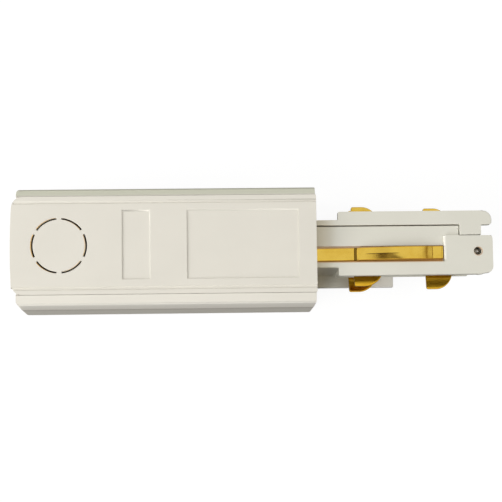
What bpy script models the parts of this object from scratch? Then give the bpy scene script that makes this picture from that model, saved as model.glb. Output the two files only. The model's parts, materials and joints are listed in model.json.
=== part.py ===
"""Track live end: the feed that plugs into one end of a three-circuit lighting track.

A long case holds the terminals, and a two-part tongue carries the contacts into the track.
The room-side face lies on z = 0 and the ceiling side is up. Design x = 0 is the track end of the
back plate, y = 0 is the middle of the case, and one empty moves the whole to the middle of its box.
"""

import math

import bmesh
import bpy
from mathutils import Matrix, Vector

# Fits
CLEARANCE = 0.0003
SEAM_GAP = 0.0002

# Case, in two halves that meet at the seam
CASE_WALL = 0.0018
CASE_FLOOR = 0.0018
END_WALL = 0.0020
SEAM_HEIGHT = 0.0205
CASE_SETBACK = 0.0003
CORNER_RADIUS = 0.0012
TRACK_CORNER_RADIUS = 0.0004
FLOOR_EDGE_RADIUS = 0.0010
SHOULDER_WIDTH = 0.00255
SHOULDER_DROP = 0.0012
SHOULDER_RADIUS = 0.0016
LIP_THICKNESS = 0.0007
LIP_HEIGHT = 0.0013

# Back plate, with its break-out, label recesses and edge grooves
PLATE_LENGTH = 0.0934
PLATE_THICKNESS = 0.0018
PLATE_OVERHANG = 0.0012
PLATE_CORNER_RADIUS = 0.0032
PLATE_EDGE_RADIUS = 0.00025
END_BOW_RADIUS = 0.2200
LEDGE_WIDTH = 0.0021
LEDGE_THICKNESS = 0.0018
GROOVE_INSET = 0.0022
GROOVE_WIDTH = 0.0010
GROOVE_DEPTH = 0.0003
GROOVE_SLOPE = 0.0001
PLATE_RIB_WIDTH = 0.0013
PLATE_RIB_DEPTH = 0.0022
PLATE_RIB_SETBACK = 0.0080
RECESS_DEPTH = 0.0003
RECESS_NEAR_INSET = 0.0055
RECESS_FAR_INSET = 0.0042
LABEL_START = 0.05935
LABEL_LENGTH = 0.00855
PANEL_START = 0.0396
PANEL_LENGTH = 0.0341
KNOCKOUT_FROM_END = 0.01495
KNOCKOUT_Y = 0.0005
KNOCKOUT_RADIUS = 0.00826
KNOCKOUT_SLOT = 0.0005
KNOCKOUT_WEB = 0.0015
KNOCKOUT_SLOTS = 6

# Tongue, in a near half with the channel and a far half that closes it
TONGUE_DROP = 0.0029
TONGUE_OFFSET = 0.0006
TONGUE_BOTTOM = 0.0024
TONGUE_LENGTH = 0.0544
NECK_LENGTH = 0.0068
NECK_WIDTH = 0.0146
RAIL_WIDTH = 0.01975
RAIL_DEPTH = 0.0025
RAIL_INNER_Y = -0.0052
CHANNEL_DEPTH = 0.0007
PARTING_OFFSET = 0.0055
PARTING_STEP = 0.0001
END_BLOCK_LENGTH = 0.0148
END_BLOCK_Y = 0.0030
HOOK_START = 0.0443
HOOK_END = 0.0509
FAR_TIP_SETBACK = 0.0002
FAR_TIP_RADIUS = 0.0027
FAR_TIP_INNER_RADIUS = 0.0009
TIP_TAPER = 0.0040
TIP_TAPER_RADIUS = 0.0080
TIP_SHOULDER = (0.0008, 0.0007)
TIP_END = 0.0019
TIP_RADIUS = 0.0012
TIP_BLOCK_RADIUS = 0.0010
WEB_END_RADIUS = 0.0020
WEB_FAR_RADIUS = 0.0008
RAIL_CORNER_RADIUS = 0.0004
NECK_CORNER_RADIUS = 0.0003
WEB_SETBACK = 0.0018
FLANGE_WIDTH = 0.0212
FLANGE_LENGTH = 0.0261
FLANGE_THICKNESS = 0.0031
FLANGE_LIFT = 0.0002
RIB_WIDTH = 0.0170
RIB_THICKNESS = 0.0013
ROOT_LENGTH = 0.0065
ANCHOR_WIDTH = 0.0206
ANCHOR_THICKNESS = 0.0030
ANCHOR_LOW_INSET = 0.0008
ANCHOR_HIGH_INSET = 0.0011

# Earth contact, one strip folded back into an arched leaf
EARTH_Y = -0.0025
EARTH_WIDTH = 0.0040
EARTH_THICKNESS = 0.0005
EARTH_TAB_WIDTH = 0.0020
EARTH_BEND = 0.0010
EARTH_DROP_X = -0.0074
EARTH_END = 0.03905
LEAF_START = 0.0125
LEAF_RISE = 0.0011
LEAF_FLAT = 0.0021
LEAF_LIFT = 0.0011

# Side contacts, flat strips with a rounded blade
STRIP_WIDTH = 0.0020
STRIP_THICKNESS = 0.0010
STRIP_NEAR_Y = -0.0045
STRIP_FAR_Y = 0.0042
LOWER_LIFT = 0.0057
MIDDLE_PITCH = 0.0058
UPPER_PITCH = 0.0080
EARTH_PITCH = 0.0030
TONGUE_CROWN = 0.0052
BLADE_NOSE = 0.0034
BLADE_SLANT = 0.0003
BLADE_CORNER = 0.0006
# Start, length and reach from the tongue's middle of each blade
LINE_1_BLADE = (0.0119, 0.0092, 0.0125)
NEUTRAL_BLADE = (0.0112, 0.0086, 0.0123)
LINE_2_BLADE = (0.0353, 0.0086, 0.0129)
LINE_3_BLADE = (0.0347, 0.0086, 0.01275)
DATA_BLADE = (0.0114, 0.0090, 0.0130)
EDGE_ROUNDING = 0.00028
BAY_HALF_HEIGHT = 0.0018

# Terminals
BLOCK_END_X = -0.0086
BLOCK_TO_BOSS = 0.0019
BLOCK_SIDE_WALL = 0.0010
BLOCK_END_WALL = 0.0014
CAGE_LENGTH = 0.0050
CAGE_WIDTH = 0.0044
CAGE_WALL = 0.0008
CAGE_BELOW = 0.0015
CAGE_ABOVE = 0.0031
CAGE_WINDOW_BELOW = 0.0008
CAGE_WINDOW_ABOVE = 0.0018
STEP_ABOVE = 0.0028
EARTH_CAGE_X = -0.0122
UPPER_CAGE_X = -0.0205
MIDDLE_CAGE_X = -0.0300
LOWER_CAGE_X = -0.0395
EARTH_STEP_LENGTH = 0.0073
TERMINAL_SCREW_RADIUS = 0.0010
TERMINAL_HEAD_RADIUS = 0.0017
TERMINAL_HEAD_HEIGHT = 0.0011
TERMINAL_TRAVEL_DOWN = 0.0006
WIRE_HOLE_RADIUS = 0.0012

# Screws of the case, the cord grip and the tongue
CASE_SCREW_RADIUS = 0.0012
CASE_SCREW_LENGTH = 0.0110
CASE_HEAD_RADIUS = 0.0024
CASE_HEAD_HEIGHT = 0.0015
CASE_SCREW_BACK_X = -0.0845
CASE_SCREW_FRONT_X = -0.0140
BOSS_RADIUS = 0.0029
BOSS_TO_WALL = 0.0005
LUG_THICKNESS = 0.0028
SLOT_WIDTH = 0.0005
CLAMP_X = -0.0580
CLAMP_SCREW_Y = 0.0085
CLAMP_LENGTH = 0.0230
CLAMP_WIDTH = 0.0062
CLAMP_THICKNESS = 0.0026
CLAMP_ARCH = 0.0009
CLAMP_SCREW_RADIUS = 0.0012
CLAMP_SCREW_LENGTH = 0.0090
CLAMP_HEAD_RADIUS = 0.0023
CLAMP_HEAD_HEIGHT = 0.0014
POST_HEIGHT = 0.0072
SADDLE_HEIGHT = 0.0022
SADDLE_WIDTH = 0.0100
TONGUE_SCREW_RADIUS = 0.0009
TONGUE_HEAD_RADIUS = 0.0018
TONGUE_HEAD_HEIGHT = 0.0013
UPPER_TONGUE_SCREW_X = 0.0275
UPPER_TONGUE_SCREW_LIFT = 0.0007
LOWER_TONGUE_SCREW_X = 0.0450
LOWER_TONGUE_SCREW_DROP = 0.0006
LOCK_X = 0.0498
LOCK_Y = -0.0020
LOCK_HOLE_RADIUS = 0.0012
LOCK_LENGTH = 0.0230
LOCK_TIP_DEPTH = 0.0012
LOCK_DRIVE_RADIUS = 0.0004
NUT_SIZE = 0.0040
NUT_THICKNESS = 0.0018
NUT_ABOVE_MIDDLE = 0.0001

ROUND_STEPS = 24
CUT_PAST = 0.0020

# Places that follow from the sizes above
CASE_START_X = -PLATE_LENGTH + PLATE_OVERHANG
CASE_END_X = -CASE_SETBACK
LOWER_LEVEL = TONGUE_BOTTOM + LOWER_LIFT
MIDDLE_LEVEL = LOWER_LEVEL + MIDDLE_PITCH
UPPER_LEVEL = MIDDLE_LEVEL + UPPER_PITCH
EARTH_LEVEL = UPPER_LEVEL + EARTH_PITCH
TONGUE_TOP = EARTH_LEVEL + TONGUE_CROWN
CASE_HEIGHT = TONGUE_TOP + TONGUE_DROP
POCKET_FOR_CAGE = CAGE_WIDTH / 2 + CLEARANCE
BLOCK_LOW_Y = STRIP_NEAR_Y - POCKET_FOR_CAGE - BLOCK_SIDE_WALL
BLOCK_HIGH_Y = STRIP_FAR_Y + POCKET_FOR_CAGE + BLOCK_SIDE_WALL
CASE_SCREW_Y = BLOCK_TO_BOSS + BOSS_RADIUS - BLOCK_LOW_Y
CASE_WIDTH = 2 * (CASE_SCREW_Y + BOSS_RADIUS + BOSS_TO_WALL + CASE_WALL)
PLATE_WIDTH = CASE_WIDTH - 2 * SHOULDER_WIDTH
PLATE_UNDERSIDE = CASE_HEIGHT - PLATE_THICKNESS
LEDGE_TOP = PLATE_UNDERSIDE - CLEARANCE
LEDGE_BOTTOM = LEDGE_TOP - LEDGE_THICKNESS
POCKET_HALF = PLATE_WIDTH / 2 + SEAM_GAP
LEDGE_HALF = POCKET_HALF - LEDGE_WIDTH
BODY_BOTTOM = SEAM_HEIGHT + SEAM_GAP / 2
COVER_TOP = SEAM_HEIGHT - SEAM_GAP / 2
RAIL_BOTTOM = TONGUE_TOP - RAIL_DEPTH
CHANNEL_FLOOR = TONGUE_TOP - CHANNEL_DEPTH
PARTING_Y = TONGUE_OFFSET + PARTING_OFFSET
NEAR_FACE_Y = PARTING_Y - CLEARANCE / 2
FAR_FACE_Y = PARTING_Y + CLEARANCE / 2
END_BLOCK_X = TONGUE_LENGTH - END_BLOCK_LENGTH
WEB_END_X = TONGUE_LENGTH - WEB_SETBACK
FAR_TIP_X = TONGUE_LENGTH - FAR_TIP_SETBACK
BLOCK_BOTTOM = CASE_FLOOR + CLEARANCE
STRIP_LIFT = STRIP_THICKNESS / 2 + CLEARANCE
BOSS_TOP = COVER_TOP + LIP_HEIGHT
LUG_BOTTOM = BOSS_TOP + CLEARANCE + PARTING_STEP
EARTH_FLAT_Z = CHANNEL_FLOOR - EARTH_THICKNESS / 2
UPPER_RIB_Z = (MIDDLE_LEVEL + UPPER_LEVEL) / 2
LOWER_RIB_Z = (LOWER_LEVEL + MIDDLE_LEVEL) / 2
UPPER_TONGUE_SCREW_Z = UPPER_LEVEL + UPPER_TONGUE_SCREW_LIFT
LOWER_TONGUE_SCREW_Z = LOWER_LEVEL - LOWER_TONGUE_SCREW_DROP
NUT_Z = MIDDLE_LEVEL + NUT_ABOVE_MIDDLE
MIDDLE_X = (TONGUE_LENGTH - PLATE_LENGTH) / 2

for old in list(bpy.data.objects):
    bpy.data.objects.remove(old)

parts = bpy.data.collections.new("track_live_end")
tools = bpy.data.collections.new("cutters")
bpy.context.scene.collection.children.link(parts)
bpy.context.scene.collection.children.link(tools)
tools.hide_render = True

frame = bpy.data.objects.new("frame", None)
parts.objects.link(frame)
frame.location = (-MIDDLE_X, 0, 0)


def material(name, colour, roughness, metallic):
    """A Principled material."""
    new = bpy.data.materials.new(name)
    new.use_nodes = True
    shader = new.node_tree.nodes["Principled BSDF"]
    shader.inputs["Base Color"].default_value = (*colour, 1)
    shader.inputs["Roughness"].default_value = roughness
    shader.inputs["Metallic"].default_value = metallic
    return new


case_plastic = material("case_plastic", (0.75, 0.72, 0.64), 0.45, 0)
tongue_plastic = material("tongue_plastic", (0.68, 0.67, 0.58), 0.42, 0)
block_plastic = material("block_plastic", (0.60, 0.59, 0.54), 0.5, 0)
contact_metal = material("contact_metal", (0.70, 0.45, 0.09), 0.25, 1)
cage_metal = material("cage_metal", (0.62, 0.47, 0.20), 0.35, 1)
screw_metal = material("screw_metal", (0.55, 0.54, 0.52), 0.3, 1)


def mesh_from(name, bm):
    """The mesh of a bmesh, with its faces turned outward."""
    bmesh.ops.recalc_face_normals(bm, faces=bm.faces)
    mesh = bpy.data.meshes.new(name)
    bm.to_mesh(mesh)
    bm.free()
    return mesh


def box(name, x, y, z):
    """Mesh of a box between its limits along each axis."""
    bm = bmesh.new()
    middle = [(low + high) / 2 for low, high in (x, y, z)]
    size = [high - low for low, high in (x, y, z)]
    place = Matrix.Translation(middle) @ Matrix.Diagonal((*size, 1))
    bmesh.ops.create_cube(bm, size=1, matrix=place)
    return mesh_from(name, bm)


def rod(name, middle, radius, length, axis="Z"):
    """Mesh of a cylinder about its middle."""
    turn = {
        "X": Matrix.Rotation(math.pi / 2, 4, "Y"),
        "Y": Matrix.Rotation(math.pi / 2, 4, "X"),
        "Z": Matrix(),
    }
    bm = bmesh.new()
    bmesh.ops.create_cone(
        bm,
        cap_ends=True,
        segments=ROUND_STEPS,
        radius1=radius,
        radius2=radius,
        depth=length,
        matrix=Matrix.Translation(middle) @ turn[axis],
    )
    return mesh_from(name, bm)


def baked(obj):
    """The evaluated mesh of a helper object, which is then removed."""
    bpy.context.view_layer.update()
    mesh = bpy.data.meshes.new_from_object(obj.evaluated_get(bpy.context.evaluated_depsgraph_get()))
    bpy.data.objects.remove(obj)
    return mesh


def slab(name, outline, low, high, axis="Z"):
    """Mesh of a flat outline, filled and extruded between two levels of an axis.

    The outline's two numbers are the other two axes, in the order x, y, z.
    """
    curve = bpy.data.curves.new(name, "CURVE")
    curve.dimensions = "2D"
    curve.fill_mode = "BOTH"
    curve.extrude = (high - low) / 2
    spline = curve.splines.new("POLY")
    spline.points.add(len(outline) - 1)
    for point, (u, v) in zip(spline.points, outline):
        point.co = (u, v, 0, 1)
    spline.use_cyclic_u = True
    guide = bpy.data.objects.new(name, curve)
    tools.objects.link(guide)
    flat = baked(guide)
    order = {"Z": (0, 1, 2), "Y": (0, 2, 1), "X": (2, 0, 1)}[axis]
    swap = Matrix([[float(column == source) for column in range(3)] for source in order]).to_4x4()
    bm = bmesh.new()
    bm.from_mesh(flat)
    bmesh.ops.remove_doubles(bm, verts=bm.verts, dist=1e-6)
    bmesh.ops.transform(bm, matrix=swap @ Matrix.Translation((0, 0, (low + high) / 2)), verts=bm.verts)
    return mesh_from(name, bm)


def rounded(corners, steps=4):
    """Outline through corners (u, v, radius), each rounded by an arc."""
    outline = []
    for index, (u, v, radius) in enumerate(corners):
        corner = Vector((u, v))
        if not radius:
            outline.append(corner)
            continue
        before = (Vector(corners[index - 1][:2]) - corner).normalized()
        after = (Vector(corners[(index + 1) % len(corners)][:2]) - corner).normalized()
        half = before.angle(after) / 2
        middle = corner + (before + after).normalized() * radius / math.sin(half)
        start = corner + before * radius / math.tan(half) - middle
        end = corner + after * radius / math.tan(half) - middle
        first = math.atan2(start.y, start.x)
        turn = (math.atan2(end.y, end.x) - first + math.pi) % (2 * math.pi) - math.pi
        for step in range(steps + 1):
            angle = first + turn * step / steps
            outline.append(middle + radius * Vector((math.cos(angle), math.sin(angle))))
    return outline


def turned(name, profile):
    """Mesh of a profile (radius, height), listed from top to bottom, turned about Z."""
    bm = bmesh.new()
    corners = [bm.verts.new((radius, 0, height)) for radius, height in profile]
    for pair in zip(corners, corners[1:]):
        bm.edges.new(pair)
    mesh = bpy.data.meshes.new(name)
    bm.to_mesh(mesh)
    bm.free()
    guide = bpy.data.objects.new(name, mesh)
    tools.objects.link(guide)
    turn = guide.modifiers.new("turn", "SCREW")
    turn.steps = ROUND_STEPS
    turn.render_steps = ROUND_STEPS
    turn.use_merge_vertices = True
    turn.merge_threshold = 1e-6
    return baked(guide)


def helper(mesh):
    """A hidden object that a Boolean uses."""
    obj = bpy.data.objects.new(mesh.name, mesh)
    tools.objects.link(obj)
    obj.parent = frame
    obj.hide_render = True
    obj.display_type = "WIRE"
    return obj


def combine(obj, operation, meshes):
    """Adds one Boolean for each mesh."""
    for mesh in meshes:
        step = obj.modifiers.new(mesh.name, "BOOLEAN")
        step.operation = operation
        step.solver = "EXACT"
        step.object = helper(mesh)


def cut(obj, *meshes):
    combine(obj, "DIFFERENCE", meshes)


def join(obj, *meshes):
    combine(obj, "UNION", meshes)


def soften(obj, width, segments=2, angle=math.radians(50)):
    """Rounds the sharp edges of an object."""
    bevel = obj.modifiers.new("soften", "BEVEL")
    bevel.width = width
    bevel.segments = segments
    bevel.limit_method = "ANGLE"
    bevel.angle_limit = angle


def part(name, mesh, finish, location=(0, 0, 0)):
    """A named piece of the product."""
    obj = bpy.data.objects.new(name, mesh)
    parts.objects.link(obj)
    obj.parent = frame
    obj.location = location
    if not mesh.materials:
        mesh.materials.append(finish)
    return obj


def bowed_outline(start, end, half_width, bow_radius, bow_corner, end_corner):
    """Plan outline with a bowed end at start and a straight end."""
    steps = 8
    spread = math.asin((half_width - bow_corner * 5 / 4) / bow_radius)
    corner_x = start + bow_radius * (1 - math.cos(math.asin(half_width / bow_radius)))
    corners = [(end, -half_width, end_corner), (end, half_width, end_corner)]
    corners.append((corner_x, half_width, bow_corner))
    for step in range(steps + 1):
        angle = spread * (1 - 2 * step / steps)
        corners.append((start + bow_radius * (1 - math.cos(angle)), bow_radius * math.sin(angle), 0))
    corners.append((corner_x, -half_width, bow_corner))
    return rounded(corners)


def case_outline(inset, end_inset):
    """Plan outline of the case, moved inward by a wall."""
    return bowed_outline(
        CASE_START_X + end_inset,
        CASE_END_X - end_inset,
        CASE_WIDTH / 2 - inset,
        END_BOW_RADIUS - end_inset,
        max(CORNER_RADIUS - inset, 0.0003),
        max(TRACK_CORNER_RADIUS - inset, 0.0003),
    )


def boss_outline(x, side, radius):
    """D-shaped outline of a screw boss that grows out of a side wall."""
    steps = 12
    y = side * CASE_SCREW_Y
    wall_y = side * (CASE_WIDTH / 2 - CASE_WALL + LIP_THICKNESS / 2)
    outline = [(x - radius, wall_y)]
    for step in range(steps + 1):
        angle = math.pi * step / steps
        outline.append((x - radius * math.cos(angle), y - side * radius * math.sin(angle)))
    outline.append((x + radius, wall_y))
    return outline


def case_screw_places():
    for x in (CASE_SCREW_BACK_X, CASE_SCREW_FRONT_X):
        for side in (-1, 1):
            yield x, side


def neck_opening(name, low, high):
    """Cutter for the opening in the end walls that the tongue's neck fills."""
    half = NECK_WIDTH / 2 + CLEARANCE
    return box(
        name,
        (CASE_END_X - 2 * END_WALL, CASE_END_X + END_WALL),
        (TONGUE_OFFSET - half, TONGUE_OFFSET + half),
        (low, high),
    )


def build_housing_body():
    """Upper half of the case: walls, sloped shoulders, and ledges for the back plate."""
    half = CASE_WIDTH / 2
    shoulder_z = CASE_HEIGHT - SHOULDER_DROP
    section = rounded(
        [
            (half, BODY_BOTTOM, 0),
            (half, shoulder_z - SHOULDER_DROP / 4, SHOULDER_RADIUS),
            (POCKET_HALF, CASE_HEIGHT, 0),
            (-POCKET_HALF, CASE_HEIGHT, 0),
            (-half, shoulder_z - SHOULDER_DROP / 4, SHOULDER_RADIUS),
            (-half, BODY_BOTTOM, 0),
        ],
        steps=5,
    )
    case_section = slab("case_section", section, CASE_START_X - CUT_PAST, CASE_END_X + CUT_PAST, "X")
    body = part("housing_body", case_section, case_plastic)
    trim = body.modifiers.new("plan", "BOOLEAN")
    trim.operation = "INTERSECT"
    trim.solver = "EXACT"
    trim.object = helper(slab("case_plan", case_outline(0, 0), 0, CASE_HEIGHT + CUT_PAST))
    far_out = (CASE_START_X - 2 * CUT_PAST, CASE_END_X + 2 * CUT_PAST)
    cut(
        body,
        slab("body_hollow", case_outline(CASE_WALL, END_WALL), 0, LEDGE_BOTTOM),
        box("plate_pocket", far_out, (-POCKET_HALF, POCKET_HALF), (LEDGE_TOP, CASE_HEIGHT + 2 * CUT_PAST)),
        box(
            "plate_opening",
            (CASE_START_X + END_WALL + SHOULDER_DROP, CASE_END_X - END_WALL),
            (-LEDGE_HALF, LEDGE_HALF),
            (LEDGE_BOTTOM - CUT_PAST, CASE_HEIGHT),
        ),
        slab(
            "lip_rebate",
            case_outline(CASE_WALL - LIP_THICKNESS - CLEARANCE, END_WALL - LIP_THICKNESS - CLEARANCE),
            0,
            COVER_TOP + LIP_HEIGHT + CLEARANCE,
        ),
    )
    for x, side in case_screw_places():
        join(body, slab("lug", boss_outline(x, side, BOSS_RADIUS), LUG_BOTTOM, LUG_BOTTOM + LUG_THICKNESS))
        hole = (x, side * CASE_SCREW_Y, SEAM_HEIGHT)
        cut(body, rod("lug_hole", hole, CASE_SCREW_RADIUS + CLEARANCE, 4 * LUG_THICKNESS))
    cut(body, neck_opening("body_neck_opening", 0, CASE_HEIGHT))


def build_front_cover():
    """Room-side half of the case: a tray with screw bosses, clamp posts and a cord saddle."""
    cover = part("front_cover", slab("cover_block", case_outline(0, 0), 0, COVER_TOP), case_plastic)
    shape = bmesh.new()
    shape.from_mesh(cover.data)
    bmesh.ops.dissolve_limit(shape, angle_limit=0.001, verts=shape.verts, edges=shape.edges)
    rim = [edge for edge in shape.edges if all(vertex.co.z < 1e-6 for vertex in edge.verts)]
    bmesh.ops.bevel(shape, geom=rim, offset=FLOOR_EDGE_RADIUS, segments=3, profile=0.5, affect="EDGES")
    shape.to_mesh(cover.data)
    shape.free()
    lip = slab(
        "lip",
        case_outline(CASE_WALL - LIP_THICKNESS, END_WALL - LIP_THICKNESS),
        COVER_TOP - LIP_HEIGHT,
        COVER_TOP + LIP_HEIGHT,
    )
    join(cover, lip)
    cut(cover, slab("cover_hollow", case_outline(CASE_WALL, END_WALL), CASE_FLOOR, CASE_HEIGHT))
    post_top = CASE_FLOOR + POST_HEIGHT
    for x, side in case_screw_places():
        join(cover, slab("boss", boss_outline(x, side, BOSS_RADIUS), CASE_FLOOR / 2, BOSS_TOP))
        foot = COVER_TOP - CASE_SCREW_LENGTH
        middle = (x, side * CASE_SCREW_Y, (foot + CASE_HEIGHT) / 2)
        cut(cover, rod("boss_hole", middle, CASE_SCREW_RADIUS + CLEARANCE, CASE_HEIGHT - foot))
    for side in (-1, 1):
        middle = (CLAMP_X, side * CLAMP_SCREW_Y, (CASE_FLOOR / 2 + post_top) / 2)
        join(cover, rod("post", middle, BOSS_RADIUS, post_top - CASE_FLOOR / 2))
        middle = (CLAMP_X, side * CLAMP_SCREW_Y, post_top)
        cut(cover, rod("post_hole", middle, CLAMP_SCREW_RADIUS + CLEARANCE, 2 * (POST_HEIGHT - CLEARANCE)))
    saddle = [(-SADDLE_WIDTH / 2, CASE_FLOOR / 2), (SADDLE_WIDTH / 2, CASE_FLOOR / 2)]
    steps = 10
    for step in range(steps + 1):
        share = 1 - 2 * step / steps
        height = CASE_FLOOR + SADDLE_HEIGHT * (0.4 + 0.6 * share * share)
        saddle.append((share * SADDLE_WIDTH / 2, height))
    for side in (-1, 1):
        middle = CLAMP_X + side * CLAMP_WIDTH / 4
        join(cover, slab("saddle", saddle, middle - CASE_WALL / 2, middle + CASE_WALL / 2, "X"))
    cut(cover, neck_opening("cover_neck_opening", TONGUE_BOTTOM - CLEARANCE, CASE_HEIGHT))


def knockout_slot(angle):
    """Cutter for one curved slot of the break-out, about its middle angle."""
    steps = 10
    inner = KNOCKOUT_RADIUS - KNOCKOUT_SLOT / 2
    outer = KNOCKOUT_RADIUS + KNOCKOUT_SLOT / 2
    half = math.pi / KNOCKOUT_SLOTS - KNOCKOUT_WEB / 2 / KNOCKOUT_RADIUS
    x = -PLATE_LENGTH + KNOCKOUT_FROM_END
    outline = []
    for radius, direction in ((inner, 1), (outer, -1)):
        for step in range(steps + 1):
            along = angle + direction * half * (2 * step / steps - 1)
            outline.append((x + radius * math.cos(along), KNOCKOUT_Y + radius * math.sin(along)))
    return slab("knockout_slot", outline, PLATE_UNDERSIDE - CUT_PAST, CASE_HEIGHT + CUT_PAST)


def build_back_plate():
    """Ceiling-side plate that drops between the shoulders."""
    half = PLATE_WIDTH / 2
    outline = bowed_outline(-PLATE_LENGTH, 0, half, END_BOW_RADIUS, PLATE_CORNER_RADIUS, TRACK_CORNER_RADIUS)
    plate = part("back_plate", slab("plate_block", outline, PLATE_UNDERSIDE, CASE_HEIGHT), case_plastic)
    soften(plate, PLATE_EDGE_RADIUS, 2)
    beyond = (-PLATE_LENGTH - CUT_PAST, CUT_PAST)
    for side in (-1, 1):
        inner = half - GROOVE_INSET
        floor = CASE_HEIGHT - GROOVE_DEPTH
        groove = [
            (side * inner, CASE_HEIGHT + CUT_PAST),
            (side * inner, CASE_HEIGHT),
            (side * (inner + GROOVE_SLOPE), floor),
            (side * (inner + GROOVE_WIDTH - GROOVE_SLOPE), floor),
            (side * (inner + GROOVE_WIDTH), CASE_HEIGHT),
            (side * (inner + GROOVE_WIDTH), CASE_HEIGHT + CUT_PAST),
        ]
        cut(plate, slab("edge_groove", groove, *beyond, "X"))
        outer = LEDGE_HALF - CLEARANCE
        rib_y = sorted((side * (outer - PLATE_RIB_WIDTH), side * outer))
        rib_x = (-PLATE_LENGTH + PLATE_RIB_SETBACK, -PLATE_RIB_SETBACK)
        rib_z = (PLATE_UNDERSIDE - PLATE_RIB_DEPTH, CASE_HEIGHT - PLATE_THICKNESS / 2)
        join(plate, box("plate_rib", rib_x, rib_y, rib_z))
    for start, length in ((LABEL_START, LABEL_LENGTH), (PANEL_START, PANEL_LENGTH)):
        recess = box(
            "label_recess",
            (-start, -start + length),
            (RECESS_NEAR_INSET - half, half - RECESS_FAR_INSET),
            (CASE_HEIGHT - RECESS_DEPTH, CASE_HEIGHT + CUT_PAST),
        )
        cut(plate, recess)
    for index in range(KNOCKOUT_SLOTS):
        cut(plate, knockout_slot(2 * math.pi * index / KNOCKOUT_SLOTS))


SIDE_CONTACTS = (
    ("line_contact_1", -1, UPPER_LEVEL, LINE_1_BLADE, UPPER_CAGE_X),
    ("neutral_contact", 1, UPPER_LEVEL, NEUTRAL_BLADE, UPPER_CAGE_X),
    ("line_contact_2", -1, MIDDLE_LEVEL, LINE_2_BLADE, MIDDLE_CAGE_X),
    ("line_contact_3", 1, MIDDLE_LEVEL, LINE_3_BLADE, MIDDLE_CAGE_X),
    ("data_contact_1", -1, LOWER_LEVEL, DATA_BLADE, LOWER_CAGE_X),
    ("data_contact_2", 1, LOWER_LEVEL, DATA_BLADE, LOWER_CAGE_X),
)


def strip_y(side):
    return STRIP_FAR_Y if side > 0 else STRIP_NEAR_Y


def build_side_contact(name, side, level, blade, cage_x):
    """One stamped strip, from its terminal cage to the blade that bears on the track's conductor."""
    blade_x, length, reach = blade
    inner = strip_y(side) - side * STRIP_WIDTH / 2
    outer = strip_y(side) + side * STRIP_WIDTH / 2
    web = TONGUE_OFFSET + side * NECK_WIDTH / 2
    tip = TONGUE_OFFSET + side * reach
    end_x = blade_x + length
    start_x = cage_x - CAGE_LENGTH / 2 + CLEARANCE
    corners = [
        (start_x, inner, 0),
        (start_x, outer, 0),
        (blade_x, outer, 0),
        (blade_x + BLADE_SLANT, tip, BLADE_CORNER),
    ]
    nose_x = blade_x + BLADE_NOSE
    steps = 9
    for step in range(steps + 1):
        angle = math.pi / 2 * step / steps
        x = nose_x + (end_x - nose_x) * math.sin(angle)
        corners.append((x, web + (tip - web) * math.cos(angle), 0))
    corners.append((end_x, inner, 0))
    low = level - STRIP_THICKNESS / 2
    contact = part(name, slab(name, rounded(corners), low, low + STRIP_THICKNESS), contact_metal)
    soften(contact, EDGE_ROUNDING, 2, math.radians(60))


def blade_slot(side, level, blade, inner_y, outer_y):
    """Cutter for the slot that a blade comes out of."""
    start, length, reach = blade
    return box(
        "blade_slot",
        (start - CLEARANCE, start + length + CLEARANCE),
        sorted((side * inner_y, side * outer_y)),
        (level - STRIP_LIFT, level + STRIP_LIFT),
    )


def side_flange(name, side, middle, width, x, z):
    """A rib or flange that stands out of one side of the web to half its width from its middle."""
    root = TONGUE_OFFSET + side * NECK_WIDTH / 4
    if side > 0:
        root = FAR_FACE_Y + PARTING_STEP * 2
    return box(name, x, sorted((root, middle + side * width / 2)), z)


def side_ribs(side):
    """The guide ribs, the lower flange and the anchor of one half of the tongue."""
    rib_x = (NECK_LENGTH, WEB_END_X - 2 * WEB_SETBACK)
    flange_low = TONGUE_BOTTOM + FLANGE_LIFT
    anchor_end = CASE_END_X - END_WALL - CLEARANCE
    flange_z = (flange_low, flange_low + FLANGE_THICKNESS)
    yield side_flange("flange", side, 0, FLANGE_WIDTH, (0, FLANGE_LENGTH), flange_z)
    for level in (UPPER_RIB_Z, LOWER_RIB_Z):
        rib_z = (level - RIB_THICKNESS / 2, level + RIB_THICKNESS / 2)
        yield side_flange("guide_rib", side, TONGUE_OFFSET, RIB_WIDTH, rib_x, rib_z)
    anchor_x = (anchor_end - ANCHOR_THICKNESS, anchor_end)
    anchor_z = (TONGUE_BOTTOM + ANCHOR_LOW_INSET, TONGUE_TOP - ANCHOR_HIGH_INSET)
    yield side_flange("anchor", side, TONGUE_OFFSET, ANCHOR_WIDTH, anchor_x, anchor_z)


def tongue_screw_places():
    yield UPPER_TONGUE_SCREW_X, UPPER_TONGUE_SCREW_Z
    yield LOWER_TONGUE_SCREW_X, LOWER_TONGUE_SCREW_Z


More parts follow.
